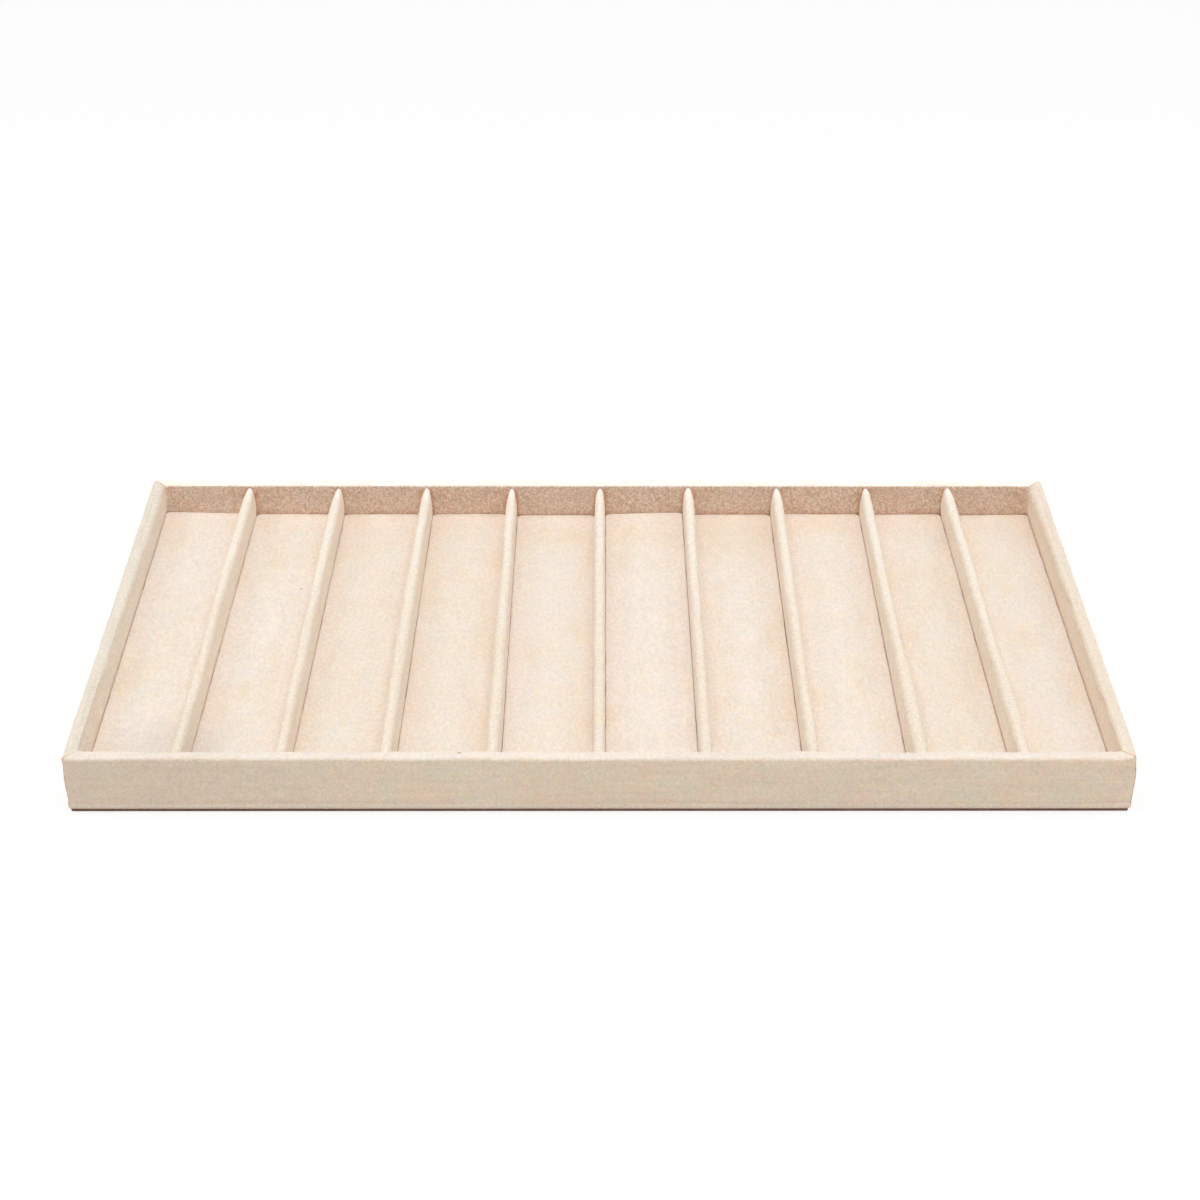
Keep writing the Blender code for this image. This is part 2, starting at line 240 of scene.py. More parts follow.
@dataclass(frozen=True)
class Microsuede:
    """Polyester microsuede: a non-woven with a very short nap, brushed one way.

    The nap scatters light, so it looks matt and chalky and catches light at a grazing angle. Soft
    darker patches can be laid on it. Its patterns can be drawn out the way that it is brushed.
    """

    name: str
    ground: str
    warm: str
    cool: str
    # Tones of the painted highlight on rims, tops and edges, and of the reddish painted shade in seams and
    # gaps
    painted_highlight: str
    seam: str = "d29877"
    grain_mm: float = 0.9
    cloud_mm: float = 22.0
    blotch_mm: float = 7.0
    drawn_out: Triple = (1.0, 1.0, 1.0)
    streak_mm: Triple = (9.0, 9.0, 9.0)
    grain_depth: float = 0.085
    grain_tint: Triple = (1.0, 1.0, 1.0)
    edge_grain: float = 1.0
    ruffle_mm: float = 1.5
    ruffle_depth: float = 0.0
    dye_mm: float = 2.6
    dye_depth: float = 0.045
    dye_tint: Triple = (0.86, 0.6, 1.43)
    blotch_depth: float = 0.015
    streak_depth: float = 0.02
    nap_mm: float = 0.35
    calm_beyond_mm: float | None = None
    calm_share: float = 0.65
    sheen: float = 0.6
    # Soft darker patches, laid under the painted highlights; the specks are laid over them
    turned: Sequence[Speck] = ()
    specks: Sequence[Speck] = ()

    def material(self) -> Material:
        """Build the finish from noise at the scale of the nap and of its clouds.

        The soft darker patches in turned are under the painted highlights, and the specks are on them.
        Only a share of the grain, edge_grain, also shows on the painted highlights.

        Returns:
            The material.
        """
        material, tree = empty_material(self.name)
        place = add_node(tree, "TexCoord")["Object"]
        drawn = add_node(tree, "VectorMath", {"operation": "DIVIDE", 1: self.drawn_out}, {0: place})[0]
        grain = self._grain(tree, place, drawn)
        look = {"Scale": 1 / (self.blotch_mm * MM), "Detail": 3.0, "Roughness": 0.55}
        blotch = add_node(tree, "TexNoise", look, {"Vector": drawn})[0]
        colour = self._clouds(tree, drawn)
        for area in self.turned:
            colour = self._specked(tree, place, colour, area)
        colour = self._shaded(tree, colour, grain, self.grain_depth * (1 - self.edge_grain))
        colour = self._paint_shade_and_highlight(tree, colour, grain, blotch)
        for speck in self.specks:
            colour = self._specked(tree, place, colour, speck)
        colour = self._dyed(tree, drawn, colour)
        if self.ruffle_depth > 0:
            colour = self._shaded(tree, colour, self._ruffle(tree, place), self.ruffle_depth)
        colour = self._shaded(tree, colour, grain, self.grain_depth * self.edge_grain)
        colour = self._shaded(tree, colour, blotch, self.blotch_depth)
        colour = self._shaded(tree, colour, self._streaks(tree, place), self.streak_depth)
        surface = {"Roughness": 0.95, "Specular IOR Level": 0.15, "Sheen Weight": self.sheen,
                   "Sheen Roughness": 0.55, "Sheen Tint": linear("fff3e6")}
        lay_surface(tree, colour, grain, (1.0, self.nap_mm), surface)
        return material

    def _clouds(self, tree: NodeTree, place: NodeSocket) -> NodeSocket:
        """Mix warmer and cooler clouds into the ground colour.

        Args:
            tree: Node tree of the material.
            place: Place on the object.

        Returns:
            The clouded colour.
        """
        under = {}
        for tone, scale, shift in ((self.warm, 1.0, 3.1), (self.cool, 0.7, 8.7)):
            moved = add_node(tree, "VectorMath", {"operation": "ADD", 1: (shift,) * 3}, {0: place})[0]
            look = {"Scale": 1 / (self.cloud_mm * MM * scale), "Detail": 5.0, "Roughness": 0.68}
            cloud = add_node(tree, "TexNoise", look, {"Vector": moved})[0]
            edges = {"interpolation_type": "SMOOTHSTEP", "From Min": 0.42, "From Max": 0.70}
            spread = add_node(tree, "MapRange", edges, {"Value": cloud})[0]
            tones = {"data_type": "RGBA", 6: linear(self.ground), 7: linear(tone)}
            under = {6: add_node(tree, "Mix", tones, {0: spread, **under})[2]}
        return under[6]

    @staticmethod
    def _specked(tree: NodeTree, place: NodeSocket, colour: NodeSocket, speck: Speck) -> NodeSocket:
        """Lay one speck on the colour.

        Args:
            tree: Node tree of the material.
            place: Place on the object.
            colour: The colour so far.
            speck: The speck.

        Returns:
            The colour with the speck.
        """
        middle = tuple(length * MM for length in speck.place_mm)
        apart = add_node(tree, "VectorMath", {"operation": "DISTANCE", 1: middle}, {0: place})["Value"]
        edge = {"interpolation_type": "SMOOTHSTEP", "From Min": speck.radius_mm * MM,
                "From Max": 0.2 * speck.radius_mm * MM}
        share = add_node(tree, "MapRange", edge, {"Value": apart})[0]
        return add_node(tree, "Mix", {"data_type": "RGBA", 7: linear(speck.tone)}, {0: share, 6: colour})[2]

    def _dyed(self, tree: NodeTree, place: NodeSocket, colour: NodeSocket) -> NodeSocket:
        """Vary red, green and blue on their own, as fibres take up a dye unevenly.

        Args:
            tree: Node tree of the material.
            place: Place on the object.
            colour: The colour so far.

        Returns:
            The colour with its small changes of hue.
        """
        look = {"Scale": 1 / (self.dye_mm * MM), "Detail": 3.0, "Roughness": 0.65}
        fibres = add_node(tree, "TexNoise", look, {"Vector": place})["Color"]
        spread = {"operation": "MULTIPLY_ADD", 1: tuple(4 * self.dye_depth * t for t in self.dye_tint),
                  2: tuple(1 - 2 * self.dye_depth * t for t in self.dye_tint)}
        share = add_node(tree, "VectorMath", spread, {0: fibres})[0]
        return add_node(tree, "VectorMath", {"operation": "MULTIPLY"}, {0: colour, 1: share})[0]

    def _grain(self, tree: NodeTree, place: NodeSocket, drawn: NodeSocket) -> NodeSocket:
        """Noise of the nap, drawn coarser than its real fibres so that it shows.

        Args:
            tree: Node tree of the material.
            place: Place on the object.
            drawn: The same place, drawn out the way the nap is brushed.

        Returns:
            The height of the nap, about 0 to 1, calmer where the tray is deeper than calm_beyond_mm.
        """
        look = {"Scale": 1 / (self.grain_mm * MM), "Detail": 2.0, "Roughness": 0.65}
        nap = add_node(tree, "TexNoise", look, {"Vector": drawn})[0]
        if self.calm_beyond_mm is None:
            return nap
        start = self.calm_beyond_mm * MM
        depth = add_node(tree, "SeparateXYZ", links={0: place})["Y"]
        edge = {"From Min": start, "From Max": start + 2 * MM, "To Max": self.calm_share}
        calm = add_node(tree, "MapRange", edge, {"Value": depth})[0]
        return add_node(tree, "Mix", {3: 0.5}, {0: calm, 2: nap})[0]

    def _ruffle(self, tree: NodeTree, place: NodeSocket) -> NodeSocket:
        """Coarser noise on the upright faces, where the nap hangs open, and none on level ones.

        Args:
            tree: Node tree of the material.
            place: Place on the object.

        Returns:
            The height of the ruffles, 0.5 on level fabric.
        """
        look = {"Scale": 1 / (self.ruffle_mm * MM), "Detail": 2.0, "Roughness": 0.6}
        ruffle = add_node(tree, "TexNoise", look, {"Vector": place})[0]
        facing = add_node(tree, "NewGeometry")["Normal"]
        level = add_node(tree, "SeparateXYZ", links={0: facing})["Z"]
        upright = add_node(tree, "MapRange", {"From Min": 0.85, "From Max": 0.35}, {"Value": level})[0]
        return add_node(tree, "Mix", {2: 0.5}, {0: upright, 3: ruffle})[0]

    def _streaks(self, tree: NodeTree, place: NodeSocket) -> NodeSocket:
        """Long faint marks left by brushing the nap.

        Args:
            tree: Node tree of the material.
            place: Place on the object.

        Returns:
            The strength of the marks, about 0 to 1.
        """
        scales = tuple(1 / (length * MM) for length in self.streak_mm)
        drawn = add_node(tree, "VectorMath", {"operation": "MULTIPLY", 1: scales}, {0: place})[0]
        look = {"Scale": 1.0, "Detail": 2.0, "Roughness": 0.6}
        return add_node(tree, "TexNoise", look, {"Vector": drawn})[0]

    def _shaded(self, tree: NodeTree, colour: NodeSocket, pattern: NodeSocket, depth: float) -> NodeSocket:
        """Darken and lighten a colour by a pattern.

        Args:
            tree: Node tree of the material.
            colour: The colour so far.
            pattern: Noise about 0.5.
            depth: How far the colour goes down and up, as a share of it, before the tint.

        Returns:
            The patterned colour.
        """
        share = add_node(tree, "MapRange", {"From Min": 0.3, "From Max": 0.7}, {"Value": pattern})[0]
        low, high = ((*(1 + sign * depth * tint for tint in self.grain_tint), 1.0) for sign in (-1, 1))
        tone = add_node(tree, "Mix", {"data_type": "RGBA", 6: low, 7: high}, {0: share})[2]
        product = {"data_type": "RGBA", "blend_type": "MULTIPLY", "clamp_result": True, 0: 1.0}
        return add_node(tree, "Mix", product, {6: colour, 7: tone})[2]

    def _paint_shade_and_highlight(
        self, tree: NodeTree, colour: NodeSocket, grain: NodeSocket, blotch: NodeSocket
    ) -> NodeSocket:
        """Paint a reddish shade where the attribute is positive, in seams, gaps and corners, and a
        highlight where it is negative, on rims, tops and edges.

        Args:
            tree: Node tree of the material.
            colour: The colour so far.
            grain: Height of the nap, which makes the painted shade uneven.
            blotch: Slower noise, which makes the painted highlights uneven.

        Returns:
            The colour with its painted shade and painted highlights.
        """
        state = add_node(tree, "Attribute", {"attribute_name": PAINTED_LIGHT})["Fac"]
        for sign, tone, pattern, least in ((1.0, self.seam, grain, 0.55), (-1.0, self.painted_highlight, blotch, 0.72)):
            spread = {"From Min": 0.35, "From Max": 0.65, "To Min": sign, "To Max": sign * least}
            uneven = add_node(tree, "MapRange", spread, {"Value": pattern})[0]
            product = {"operation": "MULTIPLY", "use_clamp": True}
            strength = add_node(tree, "Math", product, {0: state, 1: uneven})[0]
            tones = {"data_type": "RGBA", 7: linear(tone)}
            colour = add_node(tree, "Mix", tones, {0: strength, 6: colour})[2]
        return colour


@dataclass(frozen=True)
class PressedFibres:
    """A raw sheet of compacted or matted fibres, in two tones.

    Fine noise over slower patches, or over specks, mixes the tones and gives the relief.
    """

    name: str
    ground: str
    fleck: str
    fine_mm: float
    fine: dict[str, float]
    relief: Pair
    surface: dict[str, float]
    patch_mm: float = 0.0
    patch: dict[str, float] = field(default_factory=dict)
    speck_mm: float = 0.0
    spread: Pair = (0.12, 0.42)

    def material(self) -> Material:
        """Build the finish from its fine noise and its patches or specks.

        Returns:
            The material.
        """
        material, tree = empty_material(self.name)
        place = {"Vector": add_node(tree, "TexCoord")["Object"]}
        fine = add_node(tree, "TexNoise", {"Scale": 1 / (self.fine_mm * MM), **self.fine}, place)[0]
        if self.speck_mm > 0:
            cells = {"Scale": 1 / (self.speck_mm * MM), "Randomness": 1.0}
            cell = add_node(tree, "TexVoronoi", cells, place)["Distance"]
            edge = {"From Min": 0.05, "From Max": 0.30, "To Min": 0.75, "To Max": 0.0}
            patch = add_node(tree, "MapRange", edge, {"Value": cell})[0]
        else:
            look = {"Scale": 1 / (self.patch_mm * MM), **self.patch}
            patch = add_node(tree, "TexNoise", look, place)[0]
        both = add_node(tree, "Math", {"operation": "MULTIPLY"}, {0: fine, 1: patch})[0]
        low, high = self.spread
        share = add_node(tree, "MapRange", {"From Min": low, "From Max": high}, {"Value": both})[0]
        tones = {"data_type": "RGBA", 6: linear(self.ground), 7: linear(self.fleck)}
        colour = add_node(tree, "Mix", tones, {0: share})[2]
        lay_surface(tree, colour, fine, self.relief, self.surface)
        return material


# Medium-density fibreboard, pressed and sawn: even brown, finely flecked, matt
RAW_MDF = PressedFibres(
    "raw_mdf", "a9885f", "8a6a46", 0.7, {"Detail": 4.0, "Roughness": 0.7}, (0.5, 0.08),
    {"Roughness": 0.82, "Specular IOR Level": 0.3}, 14.0, {"Detail": 2.0},
)

# Greyboard of recycled pulp, rolled flat: warm grey, with darker specks and lint
PRESSED_GREYBOARD = PressedFibres(
    "pressed_greyboard", "a5a099", "6e6a64", 3.0, {"Detail": 5.0, "Roughness": 0.65}, (0.4, 0.06),
    {"Roughness": 0.9, "Specular IOR Level": 0.2}, speck_mm=0.8, spread=(0.0, 1.0),
)

# Pressed wool felt, dyed dark brown: matted fibres with a soft paler fuzz, drawn about three times
# as coarse as they are, so that the felting shows from a step away. Its dark brown is partly
# painted shade: its edge makes the thin dark line at the foot of the walls, where the tray's shadow falls
BROWN_FELT = PressedFibres(
    "brown_pressed_felt", "7f6158", "a08274", 1.1,
    {"Detail": 4.0, "Roughness": 0.75, "Distortion": 1.8}, (0.8, 0.25),
    {"Roughness": 0.95, "Specular IOR Level": 0.15, "Sheen Weight": 0.2},
    6.0, {"Detail": 3.0, "Distortion": 0.6},
)


@dataclass(frozen=True)
class Undulation:
    """Uneven lie of glued fabric: slow waves, and small lumps on them."""

    seed: float
    wave: float = 26 * MM
    wave_height: float = 0.14 * MM
    lump: float = 4.5 * MM
    lump_height: float = 0.045 * MM

    def at(self, place: Vector) -> float:
        """Height of the fabric above its even lie.

        Args:
            place: A place on the fabric.

        Returns:
            The height, which may be negative.
        """
        shift = Vector((self.seed, -self.seed, 2 * self.seed))
        slow = noise.noise(place / self.wave + shift)
        quick = noise.noise(place / self.lump - shift)
        return slow * self.wave_height * 2 + quick * self.lump_height * 2


@dataclass(frozen=True)
class Bend:
    """A corner of a folded sheet's section, and the cells of the run after it."""

    across: float
    up: float
    radius: float = 0.0
    cells: int = 1

    @property
    def place(self) -> Vector:
        """The corner as a vector in the section."""
        return Vector((self.across, self.up))


@dataclass(frozen=True)
class SectionPoint:
    """A point of a section, the way it faces, and whether it is on the face side."""

    place: Vector
    outward: Vector
    on_face: bool


@dataclass(frozen=True)
class FoldedSheet:
    """Section of a sheet folded along parallel lines, as a closed loop.

    The face run follows the bends. The glued run lies a thickness to its right.
    """

    bends: Sequence[Bend]
    steps: int = 6

    def section(self) -> list[SectionPoint]:
        """Points of the face run, then of the glued run back to the start."""
        glued = self._facing(self._run(self._glued_bends()), -1.0, False)
        return self._facing(self._run(self.bends), 1.0, True) + glued[::-1]

    def girth(self) -> float:
        """Length of the sheet across its folds, along its middle."""
        runs = (self._run(self.bends), self._run(self._glued_bends()))
        return sum(sum((b - a).length for a, b in zip(run, run[1:])) for run in runs) / 2

    def _glued_bends(self) -> list[Bend]:
        """Move the corners a thickness to the right of the face run.

        Returns:
            The corners of the glued run.
        """
        moved = []
        last = len(self.bends) - 1
        for index, bend in enumerate(self.bends):
            before = right_of(self.bends[max(index - 1, 0)].place, self.bends[max(index, 1)].place)
            following = min(index + 1, last)
            after = right_of(self.bends[following - 1].place, self.bends[following].place)
            place = bend.place + (before + after) * (FABRIC / (1 + before.dot(after)))
            turns_right = before.x * after.y - before.y * after.x < 0
            radius = max(bend.radius - FABRIC, 0.0) if turns_right else bend.radius + FABRIC
            moved.append(Bend(place.x, place.y, radius if bend.radius > 0 else 0.0, bend.cells))
        return moved

    def _run(self, bends: Sequence[Bend]) -> list[Vector]:
        """Points along a run, with the same count whatever its radii.

        Args:
            bends: Corners of the run.

        Returns:
            The points from the first edge of the sheet to the last.
        """
        stops = []
        last = len(bends) - 1
        for index, bend in enumerate(bends):
            rounded = 0 < index < last and self.bends[index].radius > 0
            if rounded and bend.radius > 0:
                before, after = bends[index - 1].place, bends[index + 1].place
                stops.append(fillet(before, bend.place, after, bend.radius, self.steps))
            else:
                stops.append([bend.place] * (self.steps + 1 if rounded else 1))
        points = []
        for index, stop in enumerate(stops):
            points += stop
            if index < last:
                cells, start, end = bends[index].cells, stop[-1], stops[index + 1][0]
                points += [start.lerp(end, cell / cells) for cell in range(1, cells)]
        return points

    @staticmethod
    def _facing(run: Sequence[Vector], turn: float, on_face: bool) -> list[SectionPoint]:
        """Give each point of a run the way it faces.

        Args:
            run: Points of the run.
            turn: 1 where the outside is to the left of the run, -1 to its right.
            on_face: Whether the run is the sheet's face.

        Returns:
            The points with their outward directions.
        """
        points = []
        last = len(run) - 1
        for index, place in enumerate(run):
            way = run[min(index + 1, last)] - run[max(index - 1, 0)]
            if way.length < WELD:
                way = run[min(index + 2, last)] - run[max(index - 2, 0)]
            way = way.normalized()
            points.append(SectionPoint(place, Vector((-way.y, way.x)) * turn, on_face))
        return points


def right_of(start: Vector, end: Vector) -> Vector:
    """Unit vector to the right of the way from start to end, in the plane of both."""
    way = (end - start).normalized()
    return Vector((way.y, -way.x))


def fillet(before: Vector, corner: Vector, after: Vector, radius: float, steps: int) -> list[Vector]:
    """Points of the arc that rounds a corner.

    Args:
        before: The corner before.
        corner: The corner that is rounded.
        after: The corner after.
        radius: Radius of the arc.
        steps: Number of chords of the arc.

    Returns:
        The points of the arc, one more than the chords.
    """
    to_before = (before - corner).normalized()
    to_after = (after - corner).normalized()
    half_angle = to_before.angle(to_after) / 2
    centre = corner + (to_before + to_after).normalized() * (radius / math.sin(half_angle))
    start = corner + to_before * (radius / math.tan(half_angle)) - centre
    end = corner + to_after * (radius / math.tan(half_angle)) - centre
    sweep = start.angle_signed(end)
    arc = []
    for step in range(steps + 1):
        turn = -sweep * step / steps
        sine, cosine = math.sin(turn), math.cos(turn)
        arm = Vector((start.x * cosine - start.y * sine, start.x * sine + start.y * cosine))
        arc.append(centre + arm)
    return arc


def plan_ring(plan: Sequence[Vector], radius: float, steps: int, cells: tuple[int, int]) -> list[Vector]:
    """Points round a four-sided plan, with the same count whatever its radius.

    Args:
        plan: Its corners, from the front left one round to the back left one.
        radius: Radius of its corners, or 0.
        steps: Number of chords at each corner.
        cells: Cells along its front and its right side.

    Returns:
        A closed ring of points.
    """
    arcs = []
    for index, corner in enumerate(plan):
        if radius > 0:
            arcs.append(fillet(plan[index - 1], corner, plan[(index + 1) % 4], radius, steps))
        else:
            arcs.append([corner] * (steps + 1))
    ring = []
    for index, arc in enumerate(arcs):
        start, end, count = arc[-1], arcs[(index + 1) % 4][0], cells[index % 2]
        ring += arc + [start.lerp(end, cell / count) for cell in range(1, count)]
    return ring


@dataclass
class Knot:
    """A mesh point in the making: its place, and its painted shade, negative where a highlight is painted.
    """

    place: Vector
    seam: float = 0.0


class MeshMaker:
    """Collects points and faces, and closes them into a welded, smooth mesh."""

    def __init__(self) -> None:
        """Start with an empty mesh that has a value of painted shade and highlight on each point."""
        self._body = bmesh.new()
        self._painted_light = self._body.verts.layers.float.new(PAINTED_LIGHT)

    def points(self, knots: Sequence[Knot]) -> list[BMVert]:
        """Add a row of points.

        Args:
            knots: The points to add.

        Returns:
            Their vertices, in the same order.
        """
        made = []
        for knot in knots:
            vertex = self._body.verts.new(knot.place)
            vertex[self._painted_light] = knot.seam
            made.append(vertex)
        return made

    def face(self, corners: Sequence[BMVert]) -> None:
        """Add one face through its corners."""
        self._body.faces.new(corners)

    def bridge(self, first: Sequence[BMVert], second: Sequence[BMVert], closed: bool) -> None:
        """Add four-sided faces between two matching rows.

        Args:
            first: Vertices of one row.
            second: Vertices of the next row.
            closed: Whether the rows join up into rings.
        """
        count = len(first)
        for index in range(count if closed else count - 1):
            after = (index + 1) % count
            self.face((first[index], first[after], second[after], second[index]))

    def skin(self, rows: Sequence[Sequence[Knot]], closed: bool) -> list[list[BMVert]]:
        """Add rows of points, and faces from each row to the next.

        Args:
            rows: The rows, all of one count.
            closed: Whether the rows join up into rings.

        Returns:
            The vertices of each row.
        """
        made = [self.points(row) for row in rows]
        for first, second in zip(made, made[1:]):
            self.bridge(first, second, closed)
        return made

    def mesh(self, name: str, sharp_degrees: float = 50.0) -> Mesh:
        """Weld the mesh, turn its faces outwards and shade it.

        Args:
            name: Name of the mesh.
            sharp_degrees: Edges that turn by more than this stay sharp.

        Returns:
            The finished mesh.
        """
        bmesh.ops.remove_doubles(self._body, verts=self._body.verts, dist=WELD)
        bmesh.ops.dissolve_degenerate(self._body, edges=self._body.edges, dist=WELD)
        bmesh.ops.recalc_face_normals(self._body, faces=self._body.faces)
        mesh = bpy.data.meshes.new(name)
        self._body.to_mesh(mesh)
        self._body.free()
        mesh.shade_smooth()
        mesh.set_sharp_from_angle(angle=math.radians(sharp_degrees))
        return mesh


def swept_sheet(name: str, rows: Sequence[Sequence[Knot]]) -> Mesh:
    """Close a folded sheet through its sections, with a cut edge at each end.

    Args:
        name: Name of the mesh.
        rows: Sections along the sheet, each a face run and then a glued run.

    Returns:
        The closed mesh.
    """
    maker = MeshMaker()
    rings = maker.skin(rows, closed=True)
    for ring in (rings[0], rings[-1]):
        half = len(ring) // 2
        maker.bridge(ring[:half], ring[half:][::-1], closed=False)
    return maker.mesh(name)


def place_piece(name: str, mesh: Mesh, finish: Material) -> Object:
    """Link a mesh to the scene as a piece with its finish.

    Args:
        name: Name of the piece.
        mesh: Its mesh, in the frame of the tray.
        finish: Its material.

    Returns:
        The piece.
    """
    piece = bpy.data.objects.new(name, mesh)
    mesh.materials.append(finish)
    bpy.context.scene.collection.objects.link(piece)
    return piece


def declare_sheet(
    piece: Object, node: str, flat: tuple[float, float],
) -> None:
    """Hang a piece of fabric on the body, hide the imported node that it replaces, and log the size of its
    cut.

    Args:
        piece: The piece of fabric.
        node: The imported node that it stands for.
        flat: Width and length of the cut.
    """
    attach(piece, BODY)
    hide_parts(node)
    LOG.info("%s: %d faces, cut %.0f x %.0f mm", piece.name, len(piece.data.polygons),
             flat[0] / MM, flat[1] / MM)


@dataclass(frozen=True)
class CornerFold:
    """How the fabric stands up and out at a corner, and how much painted shade lies in the mitre's gap.

    The nub is a small fold that stands out at the top of the corner.
    """

    lift: float = 0.1 * MM
    bulge: float = 0.2 * MM
    reach: float = 3.0 * MM
    mark: float = 1.0
    nub: float = 0.0


@dataclass(frozen=True)
class Course:
    """An uneven course along a piece: distances along it and offsets there, in mm."""

    stops_mm: Sequence[tuple[float, float]] = ((0.0, 0.0),)

    def at(self, along: float) -> float:
        """Offset at a distance along the piece, eased from stop to stop.

        Args:
            along: The distance.

        Returns:
            The offset, 0 for an even course.
        """
        start, offset = self.stops_mm[0]
        for stop, after in self.stops_mm[1:]:
            offset += (after - offset) * smooth(along / MM, start, stop)
            start = stop
        return offset * MM


@dataclass
class WallWrap:
    """A strip of microsuede wrapped over one frame board and mitred at its ends.

    In the strip's own frame X runs along the wall, Y is the distance in from the outer face, and Z
    is up. The bead is a low ridge along the outer face, above the felt.
    """

    side: Side
    length: float
    finish: Material
    undulation: Undulation
    start_fold: CornerFold = CornerFold()
    end_fold: CornerFold = CornerFold()
    fullness: Course = Course()
    dividers: Sequence[float] = ()
    turn_under: float = 12.0 * MM
    corner_radius: float = 1.4 * MM
    bottom_radius: float = 0.9 * MM
    rim_outer_radius: float = 1.3 * MM
    rim_inner_radius: float = 0.9 * MM
    mitre_gap: float = 0.12 * MM
    inner_gap_share: float = 0.25
    corner_fill: float = 2.4 * MM
    floor_fill: float = 1.3 * MM
    edge_wave: float = 0.12 * MM
    tuck: float = 0.45 * MM
    # Strengths of the painted shade in the line under the rim and beside the divider ends, and how far the
    # edge of the rim's painted highlight wanders
    rim_shade_line: float = 0.35
    highlight_wander: float = 1.0
    end_shade: float = 0.85
    roll: float = 0.45 * MM
    roll_depth: float = 0.2 * MM
    bead_height: float = 3.2 * MM
    bead_width: float = 0.55 * MM
    bead_depth: float = 0.2 * MM
    row_spacing: float = 2.3 * MM
    plan_steps: int = 5
    close_rows: Sequence[float] = (0.4 * MM, 0.9 * MM, 1.6 * MM, 2.6 * MM, 4.0 * MM)
    divider_width: float = 4.1 * MM
    divider_rows: Sequence[float] = (-0.6 * MM, 0.15 * MM, 0.8 * MM, 1.5 * MM)
    end_margin: float = 0.6 * MM
    inner_across: Pair = (3.4 * MM, 4.3 * MM)
    inner_heights: Pair = (22.7 * MM, 21.5 * MM)
    filled_across: Pair = (2.4 * MM, 4.3 * MM)
    filled_heights: Pair = (7.2 * MM, 9.0 * MM)
    filled_more: Pair = (10.0 * MM, 15.0 * MM)
    free_outside: Pair = (1.8 * MM, 3.2 * MM)
    free_inside: Pair = (10 * MM, 14 * MM)
    full_heights: Pair = (15 * MM, 21.5 * MM)
    full_from_end: Pair = (0.0, 5 * MM)
    fold_across: Pair = (0.8 * MM, 3.0 * MM)
    fold_heights: Pair = (21.8 * MM, 3.2 * MM)
    nub_heights: Pair = (22.2 * MM, 1.1 * MM)
    nub_reach: float = 1.6 * MM
    tuck_below: Pair = (13 * MM, 4 * MM)
    tuck_reach: float = 5 * MM
    # Heights and reaches of the painted shade, and of the painted highlights on the rims and the bead
    mitre_shade: Pair = (0.1 * MM, 0.5 * MM)
    floor_shade: Pair = (10.4 * MM, 9.2 * MM)
    rim_shade_heights: Pair = (21.2 * MM, 0.7 * MM)
    shade_beyond: Pair = (1.4 * MM, 0.1 * MM)
    shade_heights: Pair = (22.3 * MM, 19 * MM)
    low_shade_heights: Pair = (2.6 * MM, 1.9 * MM)
    highlight_inside: Pair = (21.6 * MM, 22.9 * MM)
    highlight_outside: Pair = (22.0 * MM, 22.7 * MM)

    def sheet(self) -> FoldedSheet:
        """Section of the strip, from under the tray to over the base board."""
        fold_z = TURN_IN_Z + FABRIC
        return FoldedSheet((
            Bend(self.turn_under, TURN_UNDER_Z, cells=3),
            Bend(0.0, TURN_UNDER_Z, self.bottom_radius, cells=5),
            Bend(0.0, self.bead_height + 2 * MM, cells=7),
            Bend(0.0, TRAY_HEIGHT, self.rim_outer_radius, cells=4),
            Bend(WALL, TRAY_HEIGHT, self.rim_inner_radius, cells=8),
            Bend(WALL, fold_z, 0.2 * MM, cells=3),
            Bend(WALL + TURN_IN, fold_z),
        ))

    def build(self) -> None:
        """Build the strip and put it in its place."""
        sheet = self.sheet()
        section = sheet.section()
        rows = [[self._knot(point, *station) for point in section] for station in self._stations()]
        wall = f"{self.side.name.lower()}_wall"
        mesh = swept_sheet(f"{wall}_wrap", rows)
        mesh.transform(self._to_tray())
        piece = place_piece(f"{wall}_suede", mesh, self.finish)
        flat = (sheet.girth(), self.length)
        declare_sheet(piece, f"{wall}_wrap", flat)

    def _to_tray(self) -> Matrix:
        """Find the transform from the strip's own frame to the tray's.

        Returns:
            The transform.
        """
        reach = TRAY_DEPTH / 2 if self.side in (Side.FRONT, Side.BACK) else TRAY_LENGTH / 2
        turn = Matrix.Rotation(self.side.value * math.pi / 2, 4, "Z")
        return turn @ Matrix.Translation((0, -reach, 0))

    def _stations(self) -> list[tuple[float, float]]:
        """Places of the sections along the strip, closer at its ends and beside dividers.

        Returns:
            The share of the half length and the turn into the corner of each.
        """
        straight = self.length / 2 - self.corner_radius
        shares = {1 - distance / straight for distance in (0.0, *self.close_rows)}
        even = straight - self.close_rows[-1]
        count = round(2 * even / self.row_spacing)
        inner = {(2 * step / count - 1) * even / straight for step in range(count + 1)}
        for middle in self.dividers:
            for beyond in self.divider_rows:
                reach = self.divider_width / 2 + beyond
                inner |= {(middle - reach) / straight, (middle + reach) / straight}
        ordered = sorted(shares | inner | {-share for share in shares})
        turns = [step / self.plan_steps for step in range(1, self.plan_steps + 1)]
        left = [(-1.0, turned) for turned in reversed(turns)]
        return left + [(share, 0.0) for share in ordered] + [(1.0, turned) for turned in turns]

